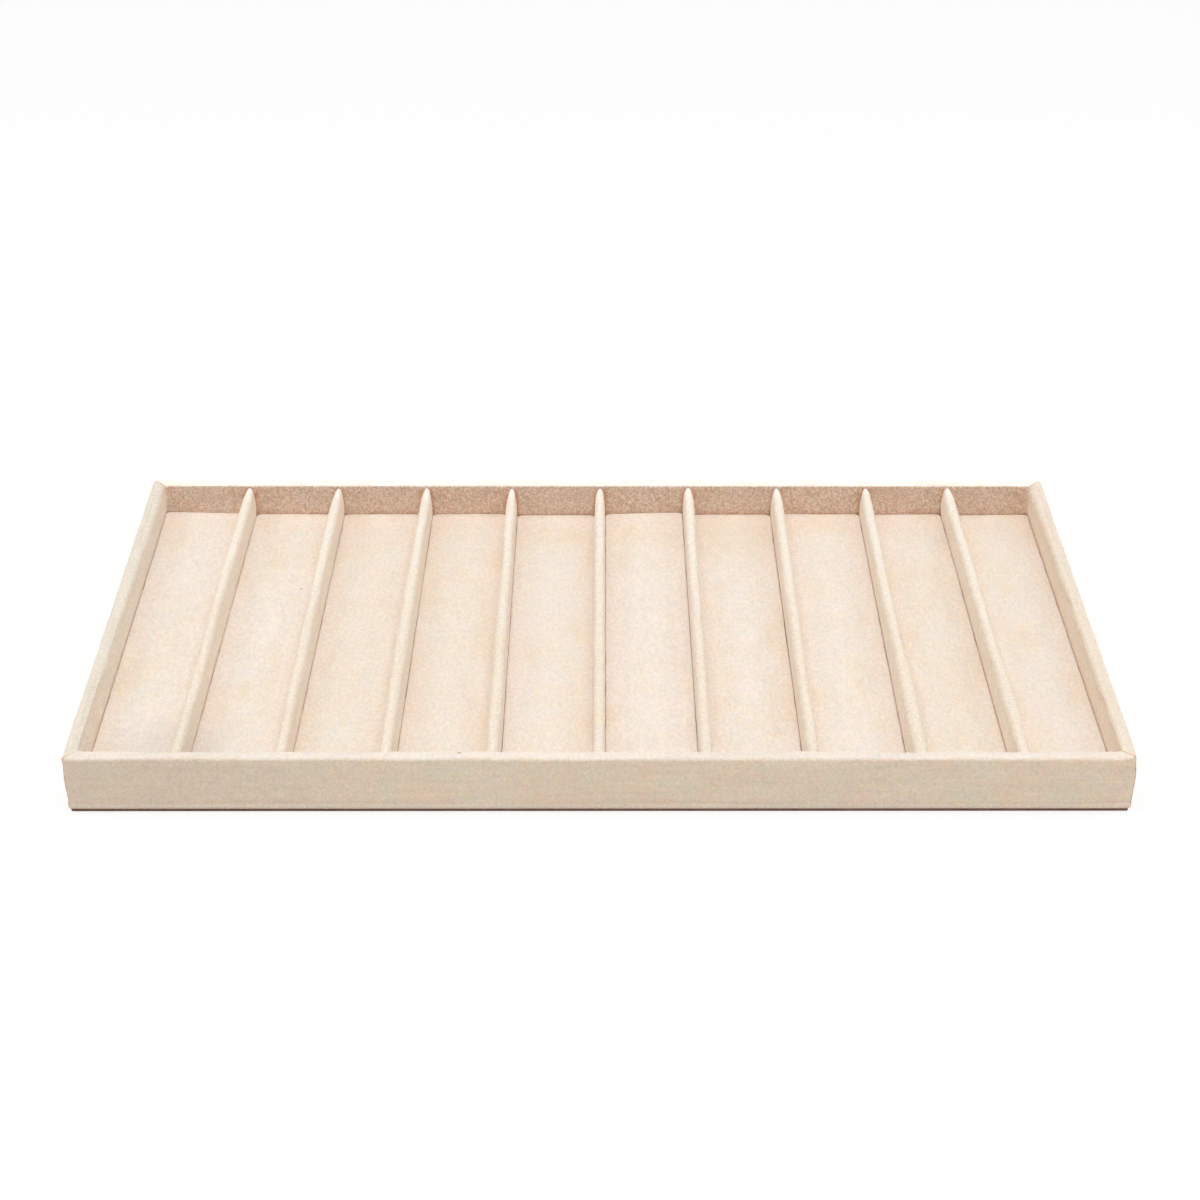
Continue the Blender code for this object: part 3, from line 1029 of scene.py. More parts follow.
    def _knot(self, point: SectionPoint, along: float, turned: float) -> Knot:
        """Set one point of a section in its place along the strip.

        Args:
            point: The point of the section.
            along: Share of the half length, negative to the left.
            turned: How far the section has turned into the corner, from 0 to 1.

        Returns:
            The point with its painted shade and highlight.
        """
        hand = 1.0 if along > 0 else -1.0
        half, radius = self.length / 2, self.corner_radius
        across, height = point.place
        closed = (1 - self.inner_gap_share) * self._inner_share(point)
        retreat = self.mitre_gap / math.sqrt(2) * turned * (1 - closed)
        margin = self.end_margin * (1 - turned)
        angle = turned * math.pi / 4
        if across < radius:
            margin *= max(across, 0.0) / radius
            reach = radius - across
            run = half - radius + reach * math.sin(angle) - retreat - margin
            inward = radius - reach * math.cos(angle)
            lean = Vector((-hand * math.sin(angle), math.cos(angle), 0))
            turn_length = reach * math.pi / 4 + margin
        else:
            run = half - across - retreat - margin
            inward = across
            lean = Vector((0, 1, 0))
            turn_length = self.end_margin
        straight = run * abs(along) if turned == 0 else run
        from_end = (run - straight) + (1 - turned) * turn_length
        fill = self._fill(across, height)
        if fill > from_end:
            # The quarter round of each wall's half starts on the mitre
            moved = fill * (1 - math.sqrt(0.5)) + from_end * math.sqrt(0.5)
            straight += from_end - moved
            inward += fill - math.sqrt(fill * fill - (fill - moved) ** 2)
        place = Vector((hand * straight, inward, height))
        out = self._rise(point, place, from_end, hand)
        place += (lean * point.outward.x + Vector((0, 0, point.outward.y))) * out
        return Knot(place, self._painted_light(point, place, from_end))

    def _inner_share(self, point: SectionPoint) -> float:
        """How much of a point's surroundings is the upright inner face, from 0 to 1."""
        across, height = point.place
        return smooth(across, *self.inner_across) * smooth(height, *self.inner_heights)

    def _fill(self, across: float, height: float) -> float:
        """Radius of the fabric in the inner corner, which it doesn't follow closely.

        Args:
            across: Distance in from the outer face.
            height: Height above the table.

        Returns:
            The radius, 0 where the floor panels and the base cover the corner.
        """
        grown = (self.corner_fill - self.floor_fill) * smooth(height, *self.filled_more)
        free = smooth(height, *self.filled_heights) * smooth(across, *self.filled_across)
        return (self.floor_fill + grown) * free

    def _rise(self, point: SectionPoint, place: Vector, from_end: float, hand: float) -> float:
        """How far the fabric stands off its even lie at a point.

        Args:
            point: The point of the section.
            place: Its place along the strip.
            from_end: Distance to the mitre.
            hand: 1 at the right half of the strip, -1 at its left half.

        Returns:
            The rise along the point's outward direction.
        """
        across, height = point.place
        fold = self.end_fold if hand > 0 else self.start_fold
        outer_face = across < WALL / 2
        free = smooth(height, *(self.free_outside if outer_face else self.free_inside))
        rise = self.undulation.at(place) * free
        if outer_face:
            rise += self.bead_depth * hump(height, self.bead_height, self.bead_width)
        else:
            full = self.fullness.at(place.x) + 2 * self.edge_wave * self._wander(place.x, 8 * MM)
            if point.on_face:
                full = max(full, -0.6 * MM)
            rise += full * smooth(height, *self.full_heights) * smooth(from_end, *self.full_from_end)
        near_outer = 1 - smooth(across, *self.fold_across)
        stands = fold.bulge * abs(point.outward.x) + fold.lift * max(point.outward.y, 0)
        rise += stands * hump(from_end, 0.0, fold.reach) * hump(height, *self.fold_heights) * near_outer
        nub = fold.nub * hump(height, *self.nub_heights) * hump(from_end, 0.0, self.nub_reach)
        rise += nub * near_outer
        low = smooth(height, *self.tuck_below) * smooth(height, TURN_UNDER_Z, 2.5 * MM)
        rise -= self.tuck * hump(from_end, 0.0, self.tuck_reach) * low * near_outer
        if from_end < self.roll and height > 1.2 * MM:
            share = (1 - from_end / self.roll) * (1 - self._inner_share(point))
            rise -= self.roll_depth * rounding(share)
        return rise if point.on_face else -max(rise, -GLUE_SLACK)

    def _beside_dividers(self, along: float) -> float:
        """Painted shade on the wall in the gaps beside the ends of the dividers.

        Args:
            along: Distance from the middle of the wall.

        Returns:
            A share from 0 to end_shade.
        """
        if not self.dividers:
            return 0.0
        beyond = min(abs(along - middle) for middle in self.dividers) - self.divider_width / 2
        return self.end_shade * smooth(beyond, *self.shade_beyond)

    def _wander(self, along: float, length: float) -> float:
        """Slow noise along the wall, about -0.5 to 0.5, with waves of about a length."""
        return noise.noise(Vector((along / length, self.undulation.seed, 0.7)))

    def _painted_light(self, point: SectionPoint, place: Vector, from_end: float) -> float:
        """Painted shade and painted highlight on the strip at a point.

        Args:
            point: The point of the section.
            place: Its place along the strip.
            from_end: Distance to the mitre.

        Returns:
            A share from 0 to 1 of painted shade, and down to -1 where a highlight is painted.
        """
        across, height = point.place
        fold = self.end_fold if place.x > 0 else self.start_fold
        # Painted shade in the mitre's gap
        at_mitre = fold.mark * (1 - smooth(from_end, *self.mitre_shade)) * (1 - self._inner_share(point))
        if across > WALL / 2:
            # Painted shade where the inner face meets the floor
            at_floor = smooth(height, *self.floor_shade)
            # Painted shade in a line just under the rim
            shade_line = self.rim_shade_line * hump(height, *self.rim_shade_heights)
            # Painted shade in the gaps beside the ends of the dividers
            shaded = self._beside_dividers(place.x) * smooth(height, *self.shade_heights)
            # All the painted shade on the inner face
            shade_share = max(at_floor, shade_line, shaded)
            # Painted highlight on the top of the rim
            highlight_share = smooth(point.outward.y, -0.1, 0.95) * smooth(height, *self.highlight_inside)
        else:
            # Painted shade in a line just above the bead
            shade_line = 0.2 * hump(height, self.bead_height + 1.2 * MM, 0.5 * MM)
            # Painted shade on the outer face towards the bottom, and the line above the bead
            shade_share = 0.5 * smooth(height, *self.low_shade_heights) + shade_line
            shift = 0.5 * self._wander(place.x, 13 * MM) + 0.35 * self._wander(place.x, 4 * MM)
            # Painted highlight on the top of the rim, with a wandering edge, and on the bead
            highlight_share = smooth(point.outward.y + self.highlight_wander * shift, 0.4, 0.9)
            highlight_share *= smooth(height, *self.highlight_outside)
            highlight_share += 0.75 * hump(height, self.bead_height, self.bead_width)
        return max(at_mitre, shade_share) - highlight_share * (1 - at_mitre)


@dataclass(frozen=True)
class Pill:
    """A small ball of nap that rubbing has raised, or a lump of glue under the fabric."""

    along: float
    across: float
    height: float
    size: float

    def at(self, along: float, across: float) -> float:
        """Height that the pill adds at a place on its piece.

        Args:
            along: Distance along the piece.
            across: Distance across it.

        Returns:
            The added height.
        """
        return self.height * hump(math.hypot(along - self.along, across - self.across), 0.0, self.size)


@dataclass
class DividerCover:
    """A folded cover over one upright divider board, with a flange on each side.

    The flanges are glued down under the floor panels. Near both ends they are cut back, where the
    fabric that is turned in from the walls lies.
    """

    number: int
    front: float
    back: float
    finish: Material
    undulation: Undulation
    lean: Course
    pills: Sequence[Pill] = ()
    top: float = 22.0 * MM
    top_radius: float = 1.75 * MM
    fold_radius: float = 0.2 * MM
    flange: float = 6.0 * MM
    cut_flange: float = 0.25 * MM
    clearance: float = 0.3 * MM
    half_length: float = INNER_DEPTH / 2 - GLUE_LINE
    row_spacing: float = 2.1 * MM
    end_rows_mm: Sequence[float] = (7.0, 6.0, 5.0, 4.0, 3.2, 2.5, 1.8, 1.2, 0.7, 0.3, 0.1, 0.0)
    end_roll: float = 1.2 * MM
    end_drop: float = 0.25 * MM
    pinch: float = 1.25 * MM
    pinch_reach: float = 4.5 * MM
    sway: float = 0.22 * MM
    sway_length: float = 34 * MM
    slack: float = 0.25 * MM
    # Painted shade where the cover meets the floor, weaker on its right face, and shares of the painted
    # highlight on its top at the front, at the back and at the back tip
    right_shade: float = 0.6
    top_highlight_shares: Triple = (0.06, 0.38, 1.0)
    free_heights: Pair = (9.0 * MM, 14.0 * MM)
    top_heights: Pair = (18.0 * MM, 21.5 * MM)
    # Where the painted shade and the painted highlights lie
    floor_shade: Pair = (9.7 * MM, 9.1 * MM)
    end_gap_shade: Pair = (0.05 * MM, 0.35 * MM)
    top_highlight_heights: Pair = (19.5 * MM, 21.6 * MM)
    top_highlight_along: Pair = (-45 * MM, 70 * MM)
    tip_reach: Pair = (14 * MM, 2 * MM)
    tip_along: Pair = (0.0, 20 * MM)

    def sheet(self, lifted: float = 0.0, narrowed: float = 0.0) -> FoldedSheet:
        """Section of the cover.

        Args:
            lifted: 1 where the flanges are cut off above the turned-in fabric.
            narrowed: 1 where the flanges are cut back to the cover's sides.

        Returns:
            The folded sheet.
        """
        flange = self.flange + (self.cut_flange - self.flange) * narrowed
        level = TURN_IN_Z + FABRIC + (PANEL_Z - TURN_IN_Z) * lifted
        return FoldedSheet((
            Bend(-HALF_DIVIDER - flange, level, cells=2),
            Bend(-HALF_DIVIDER, level, self.fold_radius, cells=9),
            Bend(-HALF_DIVIDER, self.top, self.top_radius, cells=2),
            Bend(HALF_DIVIDER, self.top, self.top_radius, cells=9),
            Bend(HALF_DIVIDER, level, self.fold_radius, cells=2),
            Bend(HALF_DIVIDER + flange, level),
        ))

    def build(self) -> None:
        """Build the cover over its board."""
        cut = INNER_DEPTH / 2 - TURN_IN - self.clearance
        count = round(2 * cut / self.row_spacing)
        whole, narrow, lifted = self.sheet(), self.sheet(0, 1), self.sheet(1, 1)
        middle = [((2 * step / count - 1) * (cut - 0.6 * MM), whole) for step in range(count + 1)]
        ends = [(cut - 0.3 * MM, narrow), (cut, lifted)]
        ends += [(self.half_length - distance * MM, lifted) for distance in self.end_rows_mm]
        stations = [(-along, sheet) for along, sheet in reversed(ends)] + middle + ends
        rows = [[self._knot(point, along) for point in sheet.section()] for along, sheet in stations]
        node = f"divider_cover_{self.number}"
        piece = place_piece(f"divider_suede_{self.number}", swept_sheet(node, rows), self.finish)
        flat = (whole.girth(), 2 * self.half_length)
        declare_sheet(piece, node, flat)

    def _knot(self, point: SectionPoint, along: float) -> Knot:
        """Set one point of a section in its place along the divider.

        Args:
            point: The point of the section.
            along: Distance from the middle, towards the back.

        Returns:
            The point with its painted shade and highlight.
        """
        across, height = point.place
        slope = (self.back - self.front) / INNER_DEPTH
        centre = (self.front + self.back) / 2 + slope * along
        free = smooth(height, *self.free_heights)
        place = Vector((centre + across, along, height))
        rise = (self.undulation.at(place) + sum(pill.at(along, across) for pill in self.pills)) * free
        from_end = self.half_length - abs(along)
        if from_end < self.end_roll:
            top_share = smooth(height, *self.top_heights)
            rise -= self.end_drop * rounding(1 - from_end / self.end_roll) * top_share
        if not point.on_face:
            rise = -max(rise, -GLUE_SLACK)
        sideways = self._sideways(across, along) * free
        place.x += point.outward.x * rise + sideways - self._pinched(point, along)
        place.z += point.outward.y * rise
        # Painted shade where the cover meets the floor and in the gaps at its ends, and a painted highlight
        # along its top, stronger towards the back and brightest at the back tip
        seam = smooth(height, *self.floor_shade) * (self.right_shade if across > 0 else 1.0)
        seam = max(seam, 1 - smooth(from_end, *self.end_gap_shade))
        shift = 0.4 * noise.noise(Vector((along / (6 * MM), self.undulation.seed, across / MM)))
        painted_highlight = smooth(point.outward.y + shift, 0.1, 1.1) * smooth(height, *self.top_highlight_heights)
        front, back, tip = self.top_highlight_shares
        at_tip = smooth(from_end, *self.tip_reach) * smooth(along, *self.tip_along)
        painted_highlight *= front + (back - front) * smooth(along, *self.top_highlight_along) + (tip - back) * at_tip
        return Knot(place, seam - painted_highlight * (1 - seam))

    def _sideways(self, across: float, along: float) -> float:
        """How far the upright fabric lies to the right of its even course.

        It can stand off its board, but not go in by more than the slack of the glue.

        Args:
            across: Distance from the middle of the divider.
            along: Distance from the middle, towards the back.

        Returns:
            The shift along X.
        """
        sway = noise.noise(Vector((along / self.sway_length, self.undulation.seed, 0)))
        shift = max(min(sway * self.sway * 2, self.slack), -self.slack) + self.lean.at(along)
        if shift * across < 0 and abs(shift) > self.slack:
            edge = min(abs(across) / HALF_DIVIDER, 1.0)
            shift = math.copysign(self.slack + (abs(shift) - self.slack) * (1 - edge), shift)
        return shift

    def _pinched(self, point: SectionPoint, along: float) -> float:
        """How far a point moves inwards where the back end is pinched to a point.

        Args:
            point: The point of the section.
            along: Distance from the middle, towards the back.

        Returns:
            The move along X, away from the point's side.
        """
        across, height = point.place
        from_back = (self.half_length - along) / self.pinch_reach
        down = self.top - height
        upper = 0.5 * math.exp(-down / (1.6 * MM)) + 0.5 * smooth(down, 10.0 * MM, 0.0)
        depth = self.pinch * math.exp(-from_back) * upper
        if not point.on_face:
            depth = min(depth, GLUE_SLACK)
        return math.copysign(depth * (abs(across) / HALF_DIVIDER), across)


@dataclass
class FloorLining:
    """Microsuede folded round the card on the floor of one channel.

    The tilt is its rise at each corner, from the front left one round to the back left one. The
    spreads say how far it fills the gap at its left, front, right and back.
    """

    number: int
    corners: Sequence[Vector]
    finish: Material
    undulation: Undulation
    tilt: Sequence[float]
    spreads: Sequence[float] = (0.28 * MM, 0.2 * MM, 0.24 * MM, 0.2 * MM)
    corner_radius: float = 1.8 * MM
    edge_radius: float = 0.4 * MM
    turn_under: float = 7.0 * MM
    rim: float = 3.0 * MM
    cell: float = 2.5 * MM
    corner_steps: int = 5
    crown: float = 0.15 * MM
    wander: float = 0.16 * MM
    # Painted shade in the gaps at the edges, weaker at the left one, beside the channel's sides and towards
    # the back, and a painted highlight on the rounded top edge
    left_shade: float = 0.6
    side_shade: float = 0.11
    back_shade: float = 0.06
    beside: Pair = (9 * MM, 3 * MM)
    behind: Pair = (34 * MM, 3 * MM)
    edge_highlight: Pair = (0.45 * MM, 0.35 * MM)
    lowest: float = -0.55 * MM
    lowest_glued: float = -0.22 * MM

    def sheet(self) -> FoldedSheet:
        """Section across an edge of the panel, from its underside round to its face."""
        return FoldedSheet((
            Bend(self.turn_under, PANEL_Z, cells=2),
            Bend(0.0, PANEL_Z, self.edge_radius, cells=2),
            Bend(0.0, FLOOR_Z, self.edge_radius, cells=2),
            Bend(self.rim, FLOOR_Z),
        ), steps=4)

    def build(self) -> None:
        """Build the lining round its card."""
        section = self.sheet().section()
        half = len(section) // 2
        # From the middle of the face round to the turned-under edge, and back behind it
        ordered = section[:half][::-1] + section[half:][::-1]
        maker = MeshMaker()
        rings = maker.skin([self._ring(point) for point in ordered], closed=True)
        maker.face(rings[-1])
        maker.skin(self._face_rows(), closed=False)
        node = f"floor_lining_{self.number:02d}"
        piece = place_piece(f"floor_suede_{self.number:02d}", maker.mesh(node), self.finish)
        front_left, front_right, back_right, back_left = self.corners
        width = ((front_right - front_left).length + (back_right - back_left).length) / 2
        fold = self.sheet().girth() - self.rim
        flat = (width + 2 * fold, (back_left - front_left).length + 2 * fold)
        declare_sheet(piece, node, flat)

    def _counts(self) -> tuple[int, int]:
        """Count the cells of the panel's face.

        Returns:
            The cells across it and along it.
        """
        width = (self.corners[1] - self.corners[0]).length
        length = (self.corners[3] - self.corners[0]).length
        return round(width / self.cell), round(length / self.cell)

    def _inset(self, inset: float) -> list[Vector]:
        """Move the corners of the plan in by an inset, and out by the spreads at the edge.

        Args:
            inset: Distance in from the edge.

        Returns:
            The moved corners.
        """
        edge = 1 - smooth(inset, 0.0, self.rim)
        insets = [inset - spread * edge for spread in self.spreads]
        moved = []
        for index, corner in enumerate(self.corners):
            after = (index + 1) % 4
            first = -right_of(self.corners[index - 1], corner)
            second = -right_of(corner, self.corners[after])
            skew = first.dot(second)
            shift = first * (insets[index] - insets[after] * skew)
            shift += second * (insets[after] - insets[index] * skew)
            moved.append(corner + shift / (1 - skew * skew))
        return moved

    def _ring(self, point: SectionPoint) -> list[Knot]:
        """Points round the panel at one point of the section.

        Args:
            point: The point of the section.

        Returns:
            A closed ring of points.
        """
        inset, height = point.place
        radius = max(self.corner_radius - inset, 0.0)
        ring = plan_ring(self._inset(inset), radius, self.corner_steps, self._counts())
        return [self._knot(place, height, point) for place in ring]

    def _face_rows(self) -> list[list[Knot]]:
        """Lay an even grid of points over the middle of the face.

        Returns:
            Its rows, from the front to the back.
        """
        plan = self._inset(self.rim)
        across, along = self._counts()
        flat_up = SectionPoint(Vector((self.rim, FLOOR_Z)), Vector((0, 1)), True)
        rows = []
        for step in range(along + 1):
            start = plan[0].lerp(plan[3], step / along)
            end = plan[1].lerp(plan[2], step / along)
            places = [start.lerp(end, cell / across) for cell in range(across + 1)]
            rows.append([self._knot(place, FLOOR_Z, flat_up) for place in places])
        return rows

    def _knot(self, place: Vector, height: float, point: SectionPoint) -> Knot:
        """Set one point of the lining in its place.

        Args:
            place: Its place in plan.
            height: Its level.
            point: The point of the section that it is on.

        Returns:
            The point with its painted shade and highlight.
        """
        share_y = (place.y - self.corners[0].y) / (self.corners[3].y - self.corners[0].y)
        left = self.corners[0].lerp(self.corners[3], share_y).x
        right = self.corners[1].lerp(self.corners[2], share_y).x
        share_x = (place.x - left) / (right - left)
        front = self.tilt[0] * (1 - share_x) + self.tilt[1] * share_x
        back = self.tilt[3] * (1 - share_x) + self.tilt[2] * share_x
        rise = front * (1 - share_y) + back * share_y
        rise += self.undulation.at(Vector((place.x, place.y, 0)))
        rise += self.crown * (4 * share_x * (1 - share_x) - 0.5)
        rise *= smooth(height, PANEL_Z + 0.5 * MM, FLOOR_Z - 0.5 * MM)
        rise = max(rise, self.lowest if point.on_face else self.lowest_glued)
        inward = 0.0
        if point.on_face and point.place.x < self.rim / 2:
            wander = noise.noise(Vector((place.x, place.y, self.undulation.seed)) / (7 * MM))
            inward = min(max(2 * wander, 0.0), 1.0) * self.wander
            inward *= (1 - point.place.x / (self.rim / 2)) * (-1 if share_x > 0.5 else 1)
        # Painted shade where the lining turns down into the gap, weaker at the left edge, and broad painted
        # shade beside the channel's sides and towards the back; a painted highlight on the rounded top edge
        seam = smooth(height, FLOOR_Z - 0.2 * MM, FLOOR_Z - 0.6 * MM)
        if place.x - left < self.rim and self.number > 1:
            seam *= self.left_shade
        painted_highlight = 0.3 * hump(point.place.x, *self.edge_highlight) * (1 - seam)
        aside = min(place.x - left, right - place.x)
        beside = smooth(aside, *self.beside) * (0.4 + 0.6 * smooth(aside, 0.5 * MM, 2.6 * MM))
        at_back = smooth(self.corners[3].y - place.y, *self.behind)
        shade = self.side_shade * beside + self.back_shade * at_back
        return Knot(Vector((place.x + inward, place.y, height + rise)), max(seam, shade) - painted_highlight)


@dataclass
class BottomFelt:
    """Felt glued under the tray, flat at its border and raised inside it."""

    finish: Material
    half_x: float = TRAY_LENGTH / 2 - FELT_INSET
    half_y: float = TRAY_DEPTH / 2 - FELT_INSET
    thickness: float = 1.2 * MM
    corner_radius: float = 0.8 * MM
    edge_radius: float = 0.35 * MM
    border: float = 11.5 * MM
    rise_run: float = 2.5 * MM
    raised: float = 0.95 * MM
    cells: tuple[int, int] = (round(TRAY_LENGTH / FELT_CELL), round(TRAY_DEPTH / FELT_CELL))
    corner_steps: int = 6

    def build(self) -> None:
        """Build the felt under the tray."""
        inner = self.border + 2 * self.rise_run
        steps = [self.border + self.rise_run * share for share in (1.0, 0.75, 0.5, 0.25, 0.0)]
        upper = [(inset, self._level(inset) + self.thickness) for inset in (inner, *steps)]
        lower = [(inset, self._level(inset)) for inset in (*reversed(steps), inner)]
        maker = MeshMaker()
        maker.skin([self._ring(*pair) for pair in upper + self._edge() + lower], closed=True)
        for lift in (0.0, self.thickness):
            maker.skin(self._middle(inner, self.raised + lift), closed=False)
        piece = place_piece("underside_felt", maker.mesh("bottom_cover"), self.finish)
        flat = (2 * self.half_y, 2 * self.half_x)
        declare_sheet(piece, "bottom_cover", flat)

    def _edge(self) -> list[tuple[float, float]]:
        """Round the cut edge softly.

        Returns:
            Insets and levels round the edge, from the top down.
        """
        turns = [math.radians(degrees) for degrees in (90, 45, 0)]
        radius = self.edge_radius
        edge = [(radius * (1 - math.cos(turn)), radius * (1 - math.sin(turn))) for turn in turns]
        return [(inset, self.thickness - level) for inset, level in edge] + edge[::-1]

    def _level(self, inset: float) -> float:
        """Level of the felt's underside at an inset from its edge."""
        return self.raised * smooth(inset, self.border, self.border + self.rise_run)

    def _ring(self, inset: float, level: float) -> list[Knot]:
        """Points round the felt at one inset and level.

        Args:
            inset: Distance in from its edge.
            level: Height of the ring.

        Returns:
            A closed ring of points.
        """
        x, y = self.half_x - inset, self.half_y - inset
        plan = [Vector((-x, -y)), Vector((x, -y)), Vector((x, y)), Vector((-x, y))]
        ring = plan_ring(plan, max(self.corner_radius - inset, 0.0), self.corner_steps, self.cells)
        return [Knot(Vector((place.x, place.y, level))) for place in ring]

    def _middle(self, inset: float, level: float) -> list[list[Knot]]:
        """Rows of points over the middle of the felt, which lies a little unevenly.

        Args:
            inset: Distance of the middle from the felt's edge.
            level: Its height.

        Returns:
            The rows, from the front to the back.
        """
        half_x, half_y = self.half_x - inset, self.half_y - inset
        along, across = self.cells
        rows = []
        for step in range(across + 1):
            y = half_y * (2 * step / across - 1)
            row = []
            for cell in range(along + 1):
                x = half_x * (2 * cell / along - 1)
                inside = min(half_x - abs(x), half_y - abs(y))
                wave = noise.noise(Vector((x, y, 0)) / (28 * MM)) * 0.12 * MM
                row.append(Knot(Vector((x, y, level + wave * smooth(inside, 0, 8 * MM)))))
            rows.append(row)
        return rows


@dataclass(frozen=True)
class Viewpoint:
    """Place and aim of the camera that took the photograph, fitted to its outlines."""

    place: Triple = (-0.0060, -0.7981, 0.4923)
    down_degrees: float = 30.318
    right_degrees: float = 0.456
    roll_degrees: float = 0.237
    lens_mm: float = 72.09
    sensor_mm: float = 36.0

    def build(self) -> None:
        """Make the camera and give it to the scene."""
        down, right = math.radians(self.down_degrees), math.radians(self.right_degrees)
        roll = math.radians(self.roll_degrees)
        aim = Vector((math.sin(right) * math.cos(down), math.cos(right) * math.cos(down), -math.sin(down)))
        level = Vector((math.cos(right), -math.sin(right), 0))
        upright = level.cross(aim)
        across = level * math.cos(roll) + upright * math.sin(roll)
        above = upright * math.cos(roll) - level * math.sin(roll)
        data = bpy.data.cameras.new("photograph_view")
        data.lens, data.sensor_width = self.lens_mm, self.sensor_mm
        data.clip_start, data.clip_end = 0.01, 50.0
        camera = bpy.data.objects.new("photograph_view", data)
        bpy.context.scene.collection.objects.link(camera)
        turn = Matrix((across, above, -aim)).transposed()
        camera.matrix_world = Matrix.Translation(self.place) @ turn.to_4x4()
        bpy.context.scene.camera = camera


@dataclass(frozen=True)
class Softbox:
    """A square lamp behind a diffuser, aimed at the tray."""

    name: str
    place: Triple
    size: float
    watts: float

    def build(self) -> None:
        """Hang the lamp and aim it at the middle of the tray."""
        data = bpy.data.lights.new(self.name, "AREA")
        data.shape, data.size, data.energy = "SQUARE", self.size, self.watts
        lamp = bpy.data.objects.new(self.name, data)
        lamp.location = self.place
        lamp.rotation_mode = "QUATERNION"
        lamp.rotation_quaternion = (-Vector(self.place)).to_track_quat("-Z", "Y")
        bpy.context.scene.collection.objects.link(lamp)


@dataclass
class Studio:
    """Pale table, three soft lamps and a dim even surround."""

    table_size: float = 8.0
    table_drop: float = 0.15 * MM
    softboxes: Sequence[Softbox] = (
        Softbox("softbox_overhead", (0.0, -0.15, 1.7), 1.4, 17.5),
        Softbox("softbox_left", (-1.35, -0.1, 1.0), 1.0, 9.5),
        Softbox("softbox_right", (1.35, -0.1, 1.0), 1.0, 9.5),
    )
    surround: float = 0.37
    shadow_share: float = 0.12

    def build(self) -> None:
        """Build the table, the lamps and the surround."""
        self._table()
        for softbox in self.softboxes:
            softbox.build()
        self._surround()
        bpy.context.scene.view_settings.view_transform = "Standard"

    def _table(self) -> None:
        """A white table top, which keeps a faint shadow of the tray."""
        maker = MeshMaker()
        half = self.table_size / 2
        corners = ((-half, -half), (half, -half), (half, half), (-half, half))
        maker.face(maker.points([Knot(Vector((x, y, -self.table_drop))) for x, y in corners]))
        table = place_piece("table_top", maker.mesh("table_top"), self._table_finish())

    def _table_finish(self) -> Material:
        """Make a white laminate, which the camera sees as nearly even white from above.

        Returns:
            The material, clear from below.
        """
        material, tree = empty_material("white_table_laminate")
        matt = add_node(tree, "BsdfDiffuse", {"Color": linear("f4f3f2")})[0]
        even = add_node(tree, "Emission", {"Color": linear("ffffff"), "Strength": 1.0})[0]
        seen = add_node(tree, "LightPath")["Is Camera Ray"]
        product = {"operation": "MULTIPLY", 1: 1 - self.shadow_share}
        share = add_node(tree, "Math", product, {0: seen})[0]
        mixed = add_node(tree, "MixShader", links={0: share, 1: matt, 2: even})[0]
        clear = add_node(tree, "BsdfTransparent")[0]
        under = add_node(tree, "NewGeometry")["Backfacing"]
        top = add_node(tree, "MixShader", links={0: under, 1: mixed, 2: clear})[0]
        add_node(tree, "OutputMaterial", links={"Surface": top})
        return material

    def _surround(self) -> None:
        """Dim even light from all round, which the camera sees as white."""
        world = bpy.data.worlds.new("even_surround")
        bpy.context.scene.world = world
        world.use_nodes = True
        tree = world.node_tree
        tree.nodes.clear()
        dim = add_node(tree, "Background", {"Color": linear("fffdfa"), "Strength": self.surround})[0]
        white = add_node(tree, "Background", {"Color": linear("ffffff"), "Strength": 1.0})[0]
        ray = add_node(tree, "LightPath")
        rays = {0: ray["Is Camera Ray"], 1: ray["Is Transmission Ray"]}
        seen = add_node(tree, "Math", {"operation": "MAXIMUM"}, rays)[0]
        mixed = add_node(tree, "MixShader", links={0: seen, 1: dim, 2: white})[0]
        add_node(tree, "OutputWorld", links={"Surface": mixed})


